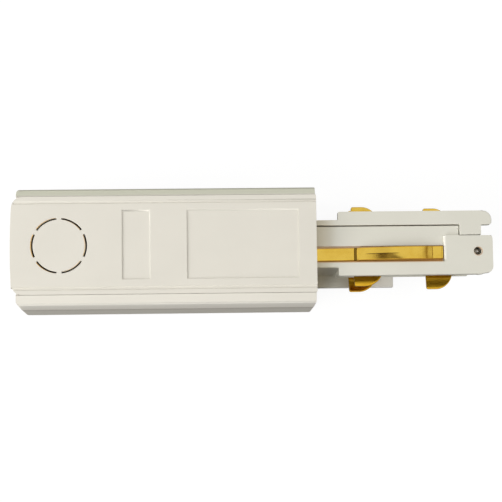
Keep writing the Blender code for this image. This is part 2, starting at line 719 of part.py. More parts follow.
def build_tongue_near():
    """Near half of the tongue: the channel, the near rail, the end block and the contact bays."""
    web_low = TONGUE_OFFSET - NECK_WIDTH / 2
    web = rounded(
        [
            (-ROOT_LENGTH, web_low, 0),
            (WEB_END_X, web_low, WEB_END_RADIUS),
            (WEB_END_X, END_BLOCK_Y - SEAM_GAP - PARTING_STEP, RAIL_CORNER_RADIUS),
            (HOOK_END - CLEARANCE, END_BLOCK_Y - SEAM_GAP - PARTING_STEP, 0),
            (HOOK_END - CLEARANCE, NEAR_FACE_Y, 0),
            (-ROOT_LENGTH, NEAR_FACE_Y, 0),
        ]
    )
    near = part("tongue_near", slab("near_web", web, TONGUE_BOTTOM, CHANNEL_FLOOR), tongue_plastic)
    rail_low = TONGUE_OFFSET - RAIL_WIDTH / 2
    top = rounded(
        [
            (CLEARANCE - ROOT_LENGTH, web_low + CLEARANCE / 2, 0),
            (NECK_LENGTH, web_low + CLEARANCE / 2, NECK_CORNER_RADIUS),
            (NECK_LENGTH, rail_low, RAIL_CORNER_RADIUS),
            (TONGUE_LENGTH - TIP_TAPER, rail_low, TIP_TAPER_RADIUS),
            (TONGUE_LENGTH - TIP_SHOULDER[0], rail_low + TIP_SHOULDER[1], TIP_RADIUS),
            (TONGUE_LENGTH, rail_low + TIP_END, TIP_RADIUS),
            (TONGUE_LENGTH, END_BLOCK_Y - SEAM_GAP / 2, TIP_BLOCK_RADIUS),
            (END_BLOCK_X, END_BLOCK_Y - SEAM_GAP / 2, 0),
            (END_BLOCK_X, RAIL_INNER_Y, NECK_CORNER_RADIUS),
            (CLEARANCE - ROOT_LENGTH, RAIL_INNER_Y, 0),
        ]
    )
    join(near, slab("near_rail", top, RAIL_BOTTOM, TONGUE_TOP), *side_ribs(-1))
    earth_half = EARTH_WIDTH / 2 + CLEARANCE
    slot_floor = EARTH_FLAT_Z - EARTH_THICKNESS / 2 - CLEARANCE
    cut(
        near,
        box(
            "earth_slot",
            (-ROOT_LENGTH - CUT_PAST, EARTH_END + CLEARANCE),
            (EARTH_Y - earth_half, EARTH_Y + earth_half),
            (slot_floor, CASE_HEIGHT),
        ),
        box(
            "hook_seat",
            (HOOK_START - SEAM_GAP, TONGUE_LENGTH),
            (END_BLOCK_Y - SEAM_GAP, NEAR_FACE_Y + CUT_PAST),
            (RAIL_BOTTOM - CLEARANCE, CASE_HEIGHT),
        ),
    )
    bay_wall = web_low + CASE_WALL / 2
    for name, side, level, blade, cage_x in SIDE_CONTACTS:
        if side < 0:
            bay_z = (level - BAY_HALF_HEIGHT, level + BAY_HALF_HEIGHT)
            bay_x = (-ROOT_LENGTH - CUT_PAST, blade[0] + blade[1] + 2 * CLEARANCE)
            cut(near, box("contact_bay", bay_x, (bay_wall, NEAR_FACE_Y + CUT_PAST), bay_z))
            cut(near, blade_slot(side, level, blade, -bay_wall - CLEARANCE, CASE_WIDTH / 2))
    for x, z in tongue_screw_places():
        middle = (x, TONGUE_OFFSET, z)
        cut(near, rod("screw_way", middle, TONGUE_SCREW_RADIUS + CLEARANCE, 2 * NECK_WIDTH, "Y"))
        head_depth = TONGUE_HEAD_HEIGHT + CLEARANCE
        middle = (x, web_low + head_depth - CASE_WIDTH / 4, z)
        cut(near, rod("head_seat", middle, TONGUE_HEAD_RADIUS + CLEARANCE, CASE_WIDTH / 2, "Y"))
    nut_half = NUT_SIZE / 2 + CLEARANCE
    nut_z = (NUT_Z - NUT_THICKNESS / 2 - CLEARANCE, NUT_Z + NUT_THICKNESS / 2 + CLEARANCE)
    cut(
        near,
        rod("lock_way", (LOCK_X, LOCK_Y, TONGUE_TOP / 2), LOCK_HOLE_RADIUS, 2 * TONGUE_TOP),
        box(
            "nut_pocket",
            (LOCK_X - nut_half, TONGUE_LENGTH + CUT_PAST),
            (LOCK_Y - nut_half, LOCK_Y + nut_half),
            nut_z,
        ),
    )


def build_tongue_far():
    """Far half of the tongue: the wall that closes the bays, the far rail and the hooked tip."""
    web_high = TONGUE_OFFSET + NECK_WIDTH / 2
    rail_high = TONGUE_OFFSET + RAIL_WIDTH / 2
    web_face = FAR_FACE_Y + PARTING_STEP
    web = rounded(
        [
            (-ROOT_LENGTH, web_face, 0),
            (HOOK_END - CLEARANCE, web_face, 0),
            (HOOK_END - CLEARANCE, web_high, WEB_FAR_RADIUS),
            (-ROOT_LENGTH, web_high, 0),
        ]
    )
    far = part("tongue_far", slab("far_web", web, TONGUE_BOTTOM, TONGUE_TOP - PARTING_STEP), tongue_plastic)
    top = rounded(
        [
            (CLEARANCE - ROOT_LENGTH, FAR_FACE_Y, 0),
            (HOOK_START, FAR_FACE_Y, 0),
            (HOOK_START, END_BLOCK_Y, 0),
            (HOOK_END, END_BLOCK_Y, 0),
            (HOOK_END, PARTING_Y, NECK_CORNER_RADIUS),
            (FAR_TIP_X, PARTING_Y, FAR_TIP_INNER_RADIUS),
            (FAR_TIP_X, rail_high, FAR_TIP_RADIUS),
            (NECK_LENGTH, rail_high, RAIL_CORNER_RADIUS),
            (NECK_LENGTH, web_high - CLEARANCE / 2, NECK_CORNER_RADIUS),
            (CLEARANCE - ROOT_LENGTH, web_high - CLEARANCE / 2, 0),
        ]
    )
    join(far, slab("far_rail", top, RAIL_BOTTOM, TONGUE_TOP), *side_ribs(1))
    for name, side, level, blade, cage_x in SIDE_CONTACTS:
        if side > 0:
            cut(far, blade_slot(side, level, blade, PARTING_Y - CUT_PAST, CASE_WIDTH / 2))
    for x, z in tongue_screw_places():
        depth = NECK_WIDTH / 2 - PARTING_OFFSET - CLEARANCE
        middle = (x, FAR_FACE_Y, z)
        cut(far, rod("screw_seat", middle, TONGUE_SCREW_RADIUS + CLEARANCE, 2 * depth, "Y"))


def earth_line():
    """Side view of the earth strip's middle line: tab, drop, flat run, fold and arched leaf."""
    bend = EARTH_BEND
    flat = EARTH_FLAT_Z
    tab_x = EARTH_CAGE_X - CAGE_LENGTH / 2 + CLEARANCE
    points = [(tab_x, EARTH_LEVEL)]
    steps = 5
    for step in range(steps + 1):
        angle = math.pi / 2 * step / steps
        rise = bend * (1 - math.cos(angle))
        points.append((EARTH_DROP_X - bend + bend * math.sin(angle), EARTH_LEVEL + rise))
    for step in range(steps + 1):
        angle = math.pi / 2 * step / steps
        points.append((EARTH_DROP_X + bend * (1 - math.cos(angle)), flat - bend + bend * math.sin(angle)))
    fold = LEAF_LIFT / 2
    fold_x = EARTH_END - fold - EARTH_THICKNESS / 2
    for step in range(2 * steps + 1):
        angle = math.pi * step / (2 * steps)
        points.append((fold_x + fold * math.sin(angle), flat + fold * (1 - math.cos(angle))))
    leaf_end = fold_x - LEAF_FLAT
    steps = 16
    for step in range(steps + 1):
        share = step / steps
        x = leaf_end + (LEAF_START - leaf_end) * share
        points.append((x, flat + LEAF_LIFT + LEAF_RISE * math.sin(math.pi * share ** 0.72) ** 1.3))
    return points


def build_earth_contact():
    """The earth strip, one ribbon that is folded back over itself."""
    line = earth_line()
    bm = bmesh.new()
    low_y = EARTH_Y - EARTH_WIDTH / 2
    verts = [bm.verts.new((x, low_y, z)) for x, z in line]
    edges = [bm.edges.new(pair) for pair in zip(verts, verts[1:])]
    swept = bmesh.ops.extrude_edge_only(bm, edges=edges)["geom"]
    moved = [item for item in swept if isinstance(item, bmesh.types.BMVert)]
    bmesh.ops.translate(bm, vec=(0, EARTH_WIDTH, 0), verts=moved)
    mesh = bpy.data.meshes.new("earth_ribbon")
    bm.to_mesh(mesh)
    bm.free()
    earth = part("earth_contact", mesh, contact_metal)
    thick = earth.modifiers.new("thick", "SOLIDIFY")
    thick.thickness = EARTH_THICKNESS
    thick.offset = 0
    thick.use_even_offset = True
    cut(
        earth,
        box(
            "tab_side",
            (EARTH_CAGE_X - CAGE_LENGTH, EARTH_DROP_X + EARTH_THICKNESS),
            (low_y - CUT_PAST, low_y + EARTH_WIDTH - EARTH_TAB_WIDTH),
            (EARTH_LEVEL - CUT_PAST, EARTH_FLAT_Z - EARTH_THICKNESS * 2),
        ),
    )


def earth_tab_y():
    return EARTH_Y + EARTH_WIDTH / 2 - EARTH_TAB_WIDTH / 2


def terminals():
    """Name, middle (x, y) and strip level of each terminal."""
    yield "earth", EARTH_CAGE_X, earth_tab_y(), EARTH_LEVEL
    for name, side, level, blade, cage_x in SIDE_CONTACTS:
        yield name.replace("_contact", ""), cage_x, strip_y(side), level


def build_terminal_block():
    """Stepped block: each pair of terminals lies one step lower, so every screw is reached from above."""
    front = BLOCK_END_X
    earth_end = front - EARTH_STEP_LENGTH
    reach = CAGE_LENGTH / 2 + CLEARANCE + BLOCK_END_WALL
    side = [
        (front, BLOCK_BOTTOM),
        (front, EARTH_LEVEL + STEP_ABOVE),
        (earth_end, EARTH_LEVEL + STEP_ABOVE),
        (earth_end, UPPER_LEVEL + STEP_ABOVE),
        (UPPER_CAGE_X - reach, UPPER_LEVEL + STEP_ABOVE),
        (UPPER_CAGE_X - reach, MIDDLE_LEVEL + STEP_ABOVE),
        (MIDDLE_CAGE_X - reach, MIDDLE_LEVEL + STEP_ABOVE),
        (MIDDLE_CAGE_X - reach, LOWER_LEVEL + STEP_ABOVE),
        (LOWER_CAGE_X - reach, LOWER_LEVEL + STEP_ABOVE),
        (LOWER_CAGE_X - reach, BLOCK_BOTTOM),
    ]
    pocket = POCKET_FOR_CAGE
    block = part("terminal_block", slab("block", side, BLOCK_LOW_Y, BLOCK_HIGH_Y, "Y"), block_plastic)
    for name, x, y, level in terminals():
        half_x = CAGE_LENGTH / 2 + CLEARANCE
        cut(
            block,
            box(
                "cage_pocket",
                (x - half_x, x + half_x),
                (y - pocket, y + pocket),
                (level - CAGE_BELOW - CLEARANCE, level + CAGE_ABOVE + CLEARANCE),
            ),
            box(
                "strip_way",
                (x, front + CUT_PAST),
                (y - STRIP_WIDTH / 2 - CLEARANCE, y + STRIP_WIDTH / 2 + CLEARANCE),
                (level - STRIP_LIFT, level + STRIP_LIFT),
            ),
            rod("wire_way", (x - reach, y, level + WIRE_HOLE_RADIUS / 2), WIRE_HOLE_RADIUS, 2 * reach, "X"),
        )


def build_terminals():
    """A cage and a clamping screw for each terminal, all of one pattern."""
    window_half = CAGE_WIDTH / 2 - CAGE_WALL
    head_low = CAGE_ABOVE + TERMINAL_TRAVEL_DOWN + CLEARANCE
    tip = STRIP_THICKNESS / 2 + CLEARANCE + TERMINAL_TRAVEL_DOWN
    thread_way = 2 * (CAGE_ABOVE - CAGE_WINDOW_ABOVE) + CUT_PAST / 2
    pattern = helper(
        box(
            "cage_pattern",
            (-CAGE_LENGTH / 2, CAGE_LENGTH / 2),
            (-CAGE_WIDTH / 2, CAGE_WIDTH / 2),
            (-CAGE_BELOW, CAGE_ABOVE),
        )
    )
    cut(
        pattern,
        box(
            "window",
            (-CAGE_LENGTH, CAGE_LENGTH),
            (-window_half, window_half),
            (-CAGE_WINDOW_BELOW, CAGE_WINDOW_ABOVE),
        ),
        rod("thread_way", (0, 0, CAGE_ABOVE), TERMINAL_SCREW_RADIUS + CLEARANCE, thread_way),
    )
    cage_mesh = baked(pattern)
    screw_mesh = slotted_screw(
        "terminal_screw",
        TERMINAL_SCREW_RADIUS,
        head_low - tip,
        TERMINAL_HEAD_RADIUS,
        TERMINAL_HEAD_HEIGHT,
    )
    for name, x, y, level in terminals():
        part(f"{name}_cage", cage_mesh, cage_metal, (x, y, level))
        part(f"{name}_screw", screw_mesh, screw_metal, (x, y, level + head_low))


def slotted_screw(name, radius, length, head_radius, head_height):
    """Mesh of a slotted screw whose head stands on z = 0."""
    ease = head_height / 4
    profile = [
        (0, head_height),
        (head_radius - ease, head_height),
        (head_radius, head_height - ease),
        (head_radius, 0),
        (radius, 0),
        (radius, -length + radius / 3),
        (radius * 2 / 3, -length),
        (0, -length),
    ]
    screw = helper(turned(name, profile))
    slot = box(
        f"{name}_slot",
        (-head_radius * 2, head_radius * 2),
        (-SLOT_WIDTH / 2, SLOT_WIDTH / 2),
        (head_height / 2, head_height * 2),
    )
    cut(screw, slot)
    return baked(screw)


def build_case_screws():
    """Four screws, reached through the wiring chamber, that pull the cover to the body."""
    seat = LUG_BOTTOM + LUG_THICKNESS + CLEARANCE
    shape = slotted_screw(
        "case_screw",
        CASE_SCREW_RADIUS,
        CASE_SCREW_LENGTH,
        CASE_HEAD_RADIUS,
        CASE_HEAD_HEIGHT,
    )
    for index, (x, side) in enumerate(case_screw_places(), 1):
        part(f"case_screw_{index}", shape, screw_metal, (x, side * CASE_SCREW_Y, seat))


def build_cord_clamp():
    """The bar that grips the cord, and its two screws."""
    low = CASE_FLOOR + POST_HEIGHT + CLEARANCE
    steps = 10
    half = CLAMP_LENGTH / 2
    arch = CLAMP_SCREW_Y - BOSS_RADIUS
    outline = [(-half, low), (-half, low + CLAMP_THICKNESS), (half, low + CLAMP_THICKNESS), (half, low)]
    for step in range(steps + 1):
        share = 1 - 2 * step / steps
        outline.append((share * arch, low + CLAMP_ARCH * (1 - share * share)))
    bar_x = (CLAMP_X - CLAMP_WIDTH / 2, CLAMP_X + CLAMP_WIDTH / 2)
    bar = part("clamp_bar", slab("clamp_bar", outline, *bar_x, "X"), block_plastic)
    shape = slotted_screw(
        "clamp_screw",
        CLAMP_SCREW_RADIUS,
        CLAMP_SCREW_LENGTH,
        CLAMP_HEAD_RADIUS,
        CLAMP_HEAD_HEIGHT,
    )
    for index, side in enumerate((-1, 1), 1):
        y = side * CLAMP_SCREW_Y
        cut(bar, rod("clamp_hole", (CLAMP_X, y, low), CLAMP_SCREW_RADIUS + CLEARANCE, 4 * CLAMP_THICKNESS))
        part(f"clamp_screw_{index}", shape, screw_metal, (CLAMP_X, y, low + CLAMP_THICKNESS + CLEARANCE))


def build_tongue_screws():
    """Two screws that hold the halves of the tongue together, driven from the near side."""
    head_y = TONGUE_OFFSET - NECK_WIDTH / 2 + TONGUE_HEAD_HEIGHT
    end_y = TONGUE_OFFSET + NECK_WIDTH / 2 - 2 * CLEARANCE
    shape = slotted_screw(
        "tongue_screw",
        TONGUE_SCREW_RADIUS,
        end_y - head_y,
        TONGUE_HEAD_RADIUS,
        TONGUE_HEAD_HEIGHT,
    )
    for index, (x, z) in enumerate(tongue_screw_places(), 1):
        screw = part(f"tongue_screw_{index}", shape, screw_metal, (x, head_y, z))
        screw.rotation_euler = (math.pi / 2, 0, 0)


def build_lock():
    """The grub screw in the end block and the square nut that it runs in."""
    radius = LOCK_HOLE_RADIUS - CLEARANCE
    top = TONGUE_TOP - LOCK_TIP_DEPTH
    profile = [
        (0, 0),
        (radius / 3, -radius / 8),
        (radius, -radius),
        (radius, -LOCK_LENGTH + radius / 3),
        (radius * 2 / 3, -LOCK_LENGTH),
        (0, -LOCK_LENGTH),
    ]
    screw = part("lock_screw", turned("lock_screw", profile), screw_metal, (LOCK_X, LOCK_Y, top))
    cut(screw, rod("drive", (LOCK_X, LOCK_Y, top - LOCK_LENGTH), LOCK_DRIVE_RADIUS, 2 * radius))
    half = NUT_SIZE / 2
    nut = part(
        "lock_nut",
        box("lock_nut", (-half, half), (-half, half), (-NUT_THICKNESS / 2, NUT_THICKNESS / 2)),
        cage_metal,
        (LOCK_X, LOCK_Y, NUT_Z),
    )
    cut(nut, rod("nut_hole", (LOCK_X, LOCK_Y, NUT_Z), LOCK_HOLE_RADIUS, 4 * NUT_THICKNESS))


build_housing_body()
build_front_cover()
build_back_plate()
build_tongue_near()
build_tongue_far()
build_earth_contact()
for row in SIDE_CONTACTS:
    build_side_contact(*row)
build_terminal_block()
build_terminals()
build_case_screws()
build_cord_clamp()
build_tongue_screws()
build_lock()

for piece in parts.objects:
    if piece.type == "MESH" and len(piece.data.polygons) > 0:
        piece.data.shade_smooth()
        piece.data.set_sharp_from_angle(angle=math.radians(35))
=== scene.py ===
"""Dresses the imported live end: its finishes, its gold contacts, the studio and the photograph's camera."""

import json
import math

import bmesh
import bpy
import numpy as np
from mathutils import Matrix, Vector


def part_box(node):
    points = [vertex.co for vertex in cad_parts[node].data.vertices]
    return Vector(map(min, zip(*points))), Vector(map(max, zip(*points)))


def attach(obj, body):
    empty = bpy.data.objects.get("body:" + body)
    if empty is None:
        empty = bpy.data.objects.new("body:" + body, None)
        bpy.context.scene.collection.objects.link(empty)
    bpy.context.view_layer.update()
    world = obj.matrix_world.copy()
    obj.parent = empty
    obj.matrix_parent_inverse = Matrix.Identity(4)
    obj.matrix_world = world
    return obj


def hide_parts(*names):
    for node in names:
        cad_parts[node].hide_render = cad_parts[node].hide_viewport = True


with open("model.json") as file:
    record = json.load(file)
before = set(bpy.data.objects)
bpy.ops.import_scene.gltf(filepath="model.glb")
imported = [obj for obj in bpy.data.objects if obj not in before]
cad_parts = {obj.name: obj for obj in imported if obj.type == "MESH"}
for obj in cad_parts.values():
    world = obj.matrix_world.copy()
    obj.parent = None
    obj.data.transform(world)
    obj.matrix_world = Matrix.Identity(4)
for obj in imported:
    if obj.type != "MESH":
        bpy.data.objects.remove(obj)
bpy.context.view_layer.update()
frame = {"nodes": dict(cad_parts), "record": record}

MM = 0.001


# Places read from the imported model

PLATE_LOW, PLATE_HIGH = (Vector(corner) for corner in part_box("back_plate"))
EARTH_LOW, EARTH_HIGH = (Vector(corner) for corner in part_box("earth_contact"))
NEAR_HIGH = Vector(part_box("tongue_near")[1])
TRACK_X = PLATE_HIGH.x
TOP_Z = PLATE_HIGH.z


# Shader maths

class Value:
    """A shader value. Its operators add Math nodes, so that shader maths reads as an expression."""

    def __init__(self, nodes, socket):
        self.nodes = nodes
        self.socket = socket

    def math(self, operation, *others):
        inputs = dict(enumerate((self, *others)))
        return self.nodes.node("ShaderNodeMath", {"operation": operation}, inputs)

    def __add__(self, other):
        return self.math("ADD", other)

    def __mul__(self, other):
        return self.math("MULTIPLY", other)

    def __sub__(self, other):
        return self.math("SUBTRACT", other)

    def __rsub__(self, other):
        return self * -1 + other

    __radd__ = __add__
    __rmul__ = __mul__

    def size(self):
        return self.math("ABSOLUTE")

    def root(self):
        return self.math("SQRT")

    def ramp(self, low, high):
        """0 at low, 1 at high and smooth between."""
        settings = {"interpolation_type": "SMOOTHSTEP"}
        inputs = {"Value": self, "From Min": low, "From Max": high}
        return self.nodes.node("ShaderNodeMapRange", settings, inputs)


class Nodes:
    """A node tree, and the one method that makes its nodes."""

    def __init__(self, tree):
        self.tree = tree

    def node(self, kind, settings=None, inputs=None, output=0):
        """A node of this kind, with its settings made first, then its sockets set or linked."""
        node = self.tree.nodes.new(kind)
        for key, value in (settings or {}).items():
            setattr(node, key, value)
        for key, value in (inputs or {}).items():
            self.feed(node.inputs[key], value)
        return Value(self, node.outputs[output])

    def feed(self, socket, value):
        if isinstance(value, Value):
            self.tree.links.new(value.socket, socket)
        else:
            socket.default_value = value

    def mix(self, factor, first, second):
        """A colour between two others."""
        pair = [(*colour, 1) if isinstance(colour, tuple) else colour for colour in (first, second)]
        return self.node("ShaderNodeMix", {"data_type": "RGBA"}, {0: factor, 6: pair[0], 7: pair[1]}, 2)


class Finish(Nodes):
    """A material with one Principled shader."""

    def __init__(self, name, **constants):
        self.material = bpy.data.materials.new(name)
        self.material.use_nodes = True
        super().__init__(self.material.node_tree)
        self.shader = self.tree.nodes["Principled BSDF"]
        self.place = self.node("ShaderNodeTexCoord", output="Object")
        for socket, value in constants.items():
            self.shader.inputs[socket.replace("_", " ")].default_value = value

    def noise(self, size, detail=2.0, stretch=(1, 1, 1), seed=0.0):
        """Clouds of about this size, from 0 to 1."""
        place = self.node("ShaderNodeVectorMath", {"operation": "MULTIPLY"}, {0: self.place, 1: stretch})
        inputs = {"Vector": place, "W": seed, "Scale": 1 / size, "Detail": detail}
        return self.node("ShaderNodeTexNoise", {"noise_dimensions": "4D"}, inputs)

    def axis(self, letter):
        """One coordinate of the place, in metres."""
        return self.node("ShaderNodeSeparateXYZ", None, {0: self.place}, "XYZ".index(letter))

    def between(self, letter, low, high, soft):
        """1 where a coordinate lies between two places, with soft ends."""
        place = self.axis(letter)
        return place.ramp(low - soft, low + soft) * (1 - place.ramp(high - soft, high + soft))

    def with_tints_and_painted_light(self, paint, tints_and_painted_light):
        """The paint with each mark mixed in, tints and painted light and shade alike: a function for where it
        lies, its strength and its colour.
        """
        for where, strength, colour in tints_and_painted_light:
            paint = self.mix(where(self) * strength, paint, colour)
        return paint

    def set(self, socket, value):
        self.feed(self.shader.inputs[socket], value)

    def bump(self, height, distance, strength):
        inputs = {"Height": height, "Distance": distance, "Strength": strength}
        self.set("Normal", self.node("ShaderNodeBump", None, inputs))


def shade(colour, factor):
    """A colour made lighter or darker, as a tuple."""
    return tuple(min(part * factor, 1) for part in colour)


# Tints and painted light and shade: each function gives 1 where its mark lies and 0 elsewhere

def span(low, high, start=0.0):
    """Two places in metres, given in millimetres from a start."""
    return start + low * MM, start + high * MM


# Levels between which a mark sets in
PLATE_FACE_Z = span(-0.5, -0.1, TOP_Z)
RAIL_TOP_Z = span(-1.5, -1.0, NEAR_HIGH.z)
SLOT_LIP_Z = span(-4, -2.5, NEAR_HIGH.z)
LEAF_FACE_Z = span(29.7, 29.9)

KNOCKOUT_MIDDLE = (PLATE_LOW.x + 14.95 * MM, 0.5 * MM)
KNOCKOUT_RADIUS = 8.26 * MM
KNOCKOUT_SLOTS = 6
BRIDGE_COSINE = (-0.85, -0.70)
FRINGE_SHIFT = 0.26 * MM
FRINGE_HALF_WIDTH = 0.275 * MM
LOCK_HOLE_MIDDLE = (TRACK_X + 49.9 * MM, -2.12 * MM)
LOCK_HOLE_RADIUS = 1.27 * MM
LOCK_RIM_HALF_WIDTH = 0.16 * MM

# Earth strip, in millimetres: the notch across it, its middle line and its turn about a place on that line
NOTCH = (11.70, 12.50)
EARTH_MIDDLE_Y = -2.5
STRIP_YAW = 0.011
YAW_MIDDLE_X = 25


def beside(finish, middle):
    """The distances in X and in Y from a point in plan."""
    return [finish.axis(letter) - place for letter, place in zip("XY", middle)]


def ring(finish, middle, radius, half_width):
    """1 on a ring about a point in plan, with soft edges."""
    aside_x, aside_y = beside(finish, middle)
    off = ((aside_x * aside_x + aside_y * aside_y).root() - radius).size()
    return 1 - off.ramp(half_width * 0.6, half_width * 1.2)


def knockout_painted_shade(finish):
    """A fringe of painted shade, warm in tone, on the left of the break-out's slots, fainter to the right and
    gone at the bridges.
    """
    middle = (KNOCKOUT_MIDDLE[0] - FRINGE_SHIFT, KNOCKOUT_MIDDLE[1])
    fading = finish.axis("X").ramp(*span(-4, 12, middle[0])) * 0.4
    aside_x, aside_y = beside(finish, KNOCKOUT_MIDDLE)
    in_slots = (aside_y.math("ARCTAN2", aside_x) * KNOCKOUT_SLOTS).math("COSINE").ramp(*BRIDGE_COSINE)
    fringe = ring(finish, middle, KNOCKOUT_RADIUS, FRINGE_HALF_WIDTH)
    return fringe * finish.axis("Z").ramp(*PLATE_FACE_Z) * (1 - fading) * in_slots


def far_shoulder_painted_light(finish):
    """Painted light on the far shoulder: a cooler, greener tone for the cooler light that falls on it."""
    return finish.axis("Y").ramp(*span(15.6, 16.1)) * finish.axis("Z").ramp(*span(27, 31))


def near_wall_painted_light(finish):
    """Painted light on the near wall of the upper case, paler towards its top."""
    high = finish.axis("Z").ramp(*span(18, 33)) * 0.45 + 0.55
    return (1 - finish.axis("Y").ramp(*span(-17.6, -16.9))) * high


def under_seam(finish):
    """The soft shade along the top of the room-side case."""
    return finish.axis("Z").ramp(*span(13, 20.4))


def neck_shade(finish):
    """The warm shade on the tongue beside the case."""
    return 1 - finish.axis("X").ramp(*span(1, 7.5, TRACK_X))


def flange_painted_light(finish):
    """Painted light on the right part of the flange at the foot of the tongue, which is paler."""
    low = 1 - finish.axis("Z").ramp(*span(6, 7))
    return low * finish.axis("X").ramp(*span(10, 18, TRACK_X))


def block_edge_painted_highlight(finish):
    """A painted highlight along the left edge of the end block."""
    along = finish.between("X", *span(39.25, 40.0, TRACK_X), 0.12 * MM)
    across = finish.between("Y", *span(-4.6, 3.1), 0.2 * MM)
    return along * across * finish.axis("Z").ramp(*span(28.8, 29.2))


def parting_painted_shade(finish):
    """Painted shade, brown, along the line where the halves of the tongue meet."""
    along = 1 - finish.axis("X").ramp(*span(43, 44, TRACK_X))
    across = finish.between("Y", *span(5.94, 6.26), 0.06 * MM)
    return across * along * finish.axis("Z").ramp(*RAIL_TOP_Z)


def lock_rim(finish):
    """A dark orange ring round the rim of the lock screw's hole."""
    rim = ring(finish, LOCK_HOLE_MIDDLE, LOCK_HOLE_RADIUS, LOCK_RIM_HALF_WIDTH)
    return rim * finish.axis("Z").ramp(*RAIL_TOP_Z)


def earth_gap_painted_shade(finish):
    """Painted shade in the gaps on both sides of the earth strip, warmed by painted reflection of its gold on
    the plastic.
    """
    along = finish.between("X", TRACK_X, EARTH_HIGH.x, 0.3 * MM)
    near = finish.between("Y", *span(-0.50, 0.4, EARTH_LOW.y), 0.08 * MM)
    far = finish.between("Y", *span(-0.4, 0.35, EARTH_HIGH.y), 0.10 * MM) * 0.6
    return along * (near + far) * finish.axis("Z").ramp(*SLOT_LIP_Z)


def earth_lip_painted_glow(finish):
    """Painted warm light on the near lip of the earth slot, where the gold strip's light falls on the
    plastic.
    """
    along = finish.between("X", TRACK_X, EARTH_HIGH.x, 0.6 * MM)
    across = finish.between("Y", *span(-0.85, 0.1, EARTH_LOW.y), 0.22 * MM)
    return along * across * finish.axis("Z").ramp(*SLOT_LIP_Z)


def strip_across(finish):
    """How far a place lies from the middle line of the earth strip, which runs a little askew."""
    askew = (finish.axis("X") - TRACK_X - YAW_MIDDLE_X * MM) * STRIP_YAW
    return finish.axis("Y") - askew - EARTH_MIDDLE_Y * MM


def strip_edges(finish):
    """The darker orange along both edges of the earth strip, and not on the side contacts."""
    on_earth = 1 - finish.axis("Y").size().ramp(*span(5.2, 5.4))
    return strip_across(finish).size().ramp(*span(1.62, 1.92)) * on_earth


def leaf_painted_dark_reflection(finish):
    """A painted dark reflection on the leaf, left of its peak and stronger on its near half."""
    along = finish.between("X", *span(18.6, 22.6, TRACK_X), 1.5 * MM)
    far_half = strip_across(finish).ramp(*span(-0.5, 0.1)) * 0.6
    return along * (1 - far_half) * finish.axis("Z").ramp(*LEAF_FACE_Z)


def leaf_crease_painted_shade(finish):
    """Painted shade: the fine dark line of the crease along the leaf."""
    along = finish.between("X", *span(15.5, 25.0, TRACK_X), 0.8 * MM)
    off = (strip_across(finish) + 0.08 * MM).size()
    return along * (1 - off.ramp(*span(0.05, 0.20))) * finish.axis("Z").ramp(*LEAF_FACE_Z)


def leaf_shadow(finish):
    """A painted shadow of the leaf's tip: a dark line across the strip, just before the tip of the leaf."""
    line = finish.between("X", *span(*NOTCH, TRACK_X), 0.10 * MM)
    under_leaf = 1 - finish.axis("Z").ramp(*span(29.5, 29.6))
    return line * under_leaf * finish.axis("Z").ramp(*span(28.8, 29.0))


# Finishes

def moulded_plastic(name, colour, roughness, grain=0.16 * MM, tints_and_painted_light=()):
    """Injection-moulded plastic: faint clouds of tone, a fine spark-eroded grain, and any tints and painted
    light and shade.
    """
    finish = Finish(name)
    clouds = finish.noise(14 * MM, detail=3)
    flow = finish.noise(5 * MM, stretch=(0.3, 1, 1), seed=3)
    tone = (clouds * 0.7 + flow * 0.3).ramp(0.3, 0.7)
    paint = finish.mix(tone, shade(colour, 0.985), shade(colour, 1.015))
    fine = finish.noise(grain, seed=5)
    coarse = finish.noise(grain * 4, seed=8)
    finish.set("Base Color", finish.with_tints_and_painted_light(paint, tints_and_painted_light))
    finish.set("Roughness", (fine - 0.5) * 0.10 + roughness)
    finish.bump(fine * 0.7 + coarse * 0.3, 0.012 * MM, 0.5)
    return finish.material


def gold_strip(name, colour, roughness, tints_and_painted_light=()):
    """Gold-coloured contact strip: fine rolling lines along it, a faint tarnish, and any tints and painted
    light and shade.
    """
    finish = Finish(name, Metallic=1.0)
    lines = finish.noise(0.12 * MM, stretch=(0.03, 1, 1), seed=2)
    tarnish = finish.noise(3 * MM, detail=3, seed=6).ramp(0.35, 0.75)
    warm = (colour[0] * 0.90, colour[1] * 0.84, colour[2] * 0.6)
    paint = finish.mix(tarnish * 0.6 + lines * 0.2, colour, warm)
    finish.set("Base Color", finish.with_tints_and_painted_light(paint, tints_and_painted_light))
    finish.set("Roughness", (lines - 0.5) * 0.10 + (tarnish - 0.5) * 0.06 + roughness)
    finish.bump(lines, 0.004 * MM, 0.4)
    return finish.material


def plated_steel(name, colour, roughness):
    """Plated metal: small clouds of shine and turning marks."""
    finish = Finish(name, Metallic=1.0)
    spots = finish.noise(0.7 * MM, detail=3)
    marks = finish.noise(0.1 * MM, stretch=(1, 1, 6), seed=4)
    finish.set("Base Color", finish.mix(spots, shade(colour, 0.85), shade(colour, 1.1)))
    finish.set("Roughness", (spots - 0.5) * 0.2 + roughness)
    finish.bump(marks, 0.006 * MM, 0.4)
    return finish.material


CASE_COLOUR = (0.737, 0.709, 0.634)
CASE_ROUGHNESS = 0.46
# Share of the case colour for the room-side case: painted shade that darkens its walls
COVER_PAINTED_DARKENING = 0.89
GOLD_ROUGHNESS = 0.17

# Painted shade and painted light on the case
CASE_PAINTED_LIGHT = [
    (knockout_painted_shade, 0.9, (0.62, 0.36, 0.08)),
    (far_shoulder_painted_light, 1, (0.742, 0.745, 0.612)),
    (near_wall_painted_light, 1, (0.96, 0.93, 0.85)),
]
# Painted shade along the top of the room-side case
COVER_PAINTED_SHADE = [(under_seam, 0.8, (0.52, 0.49, 0.435))]
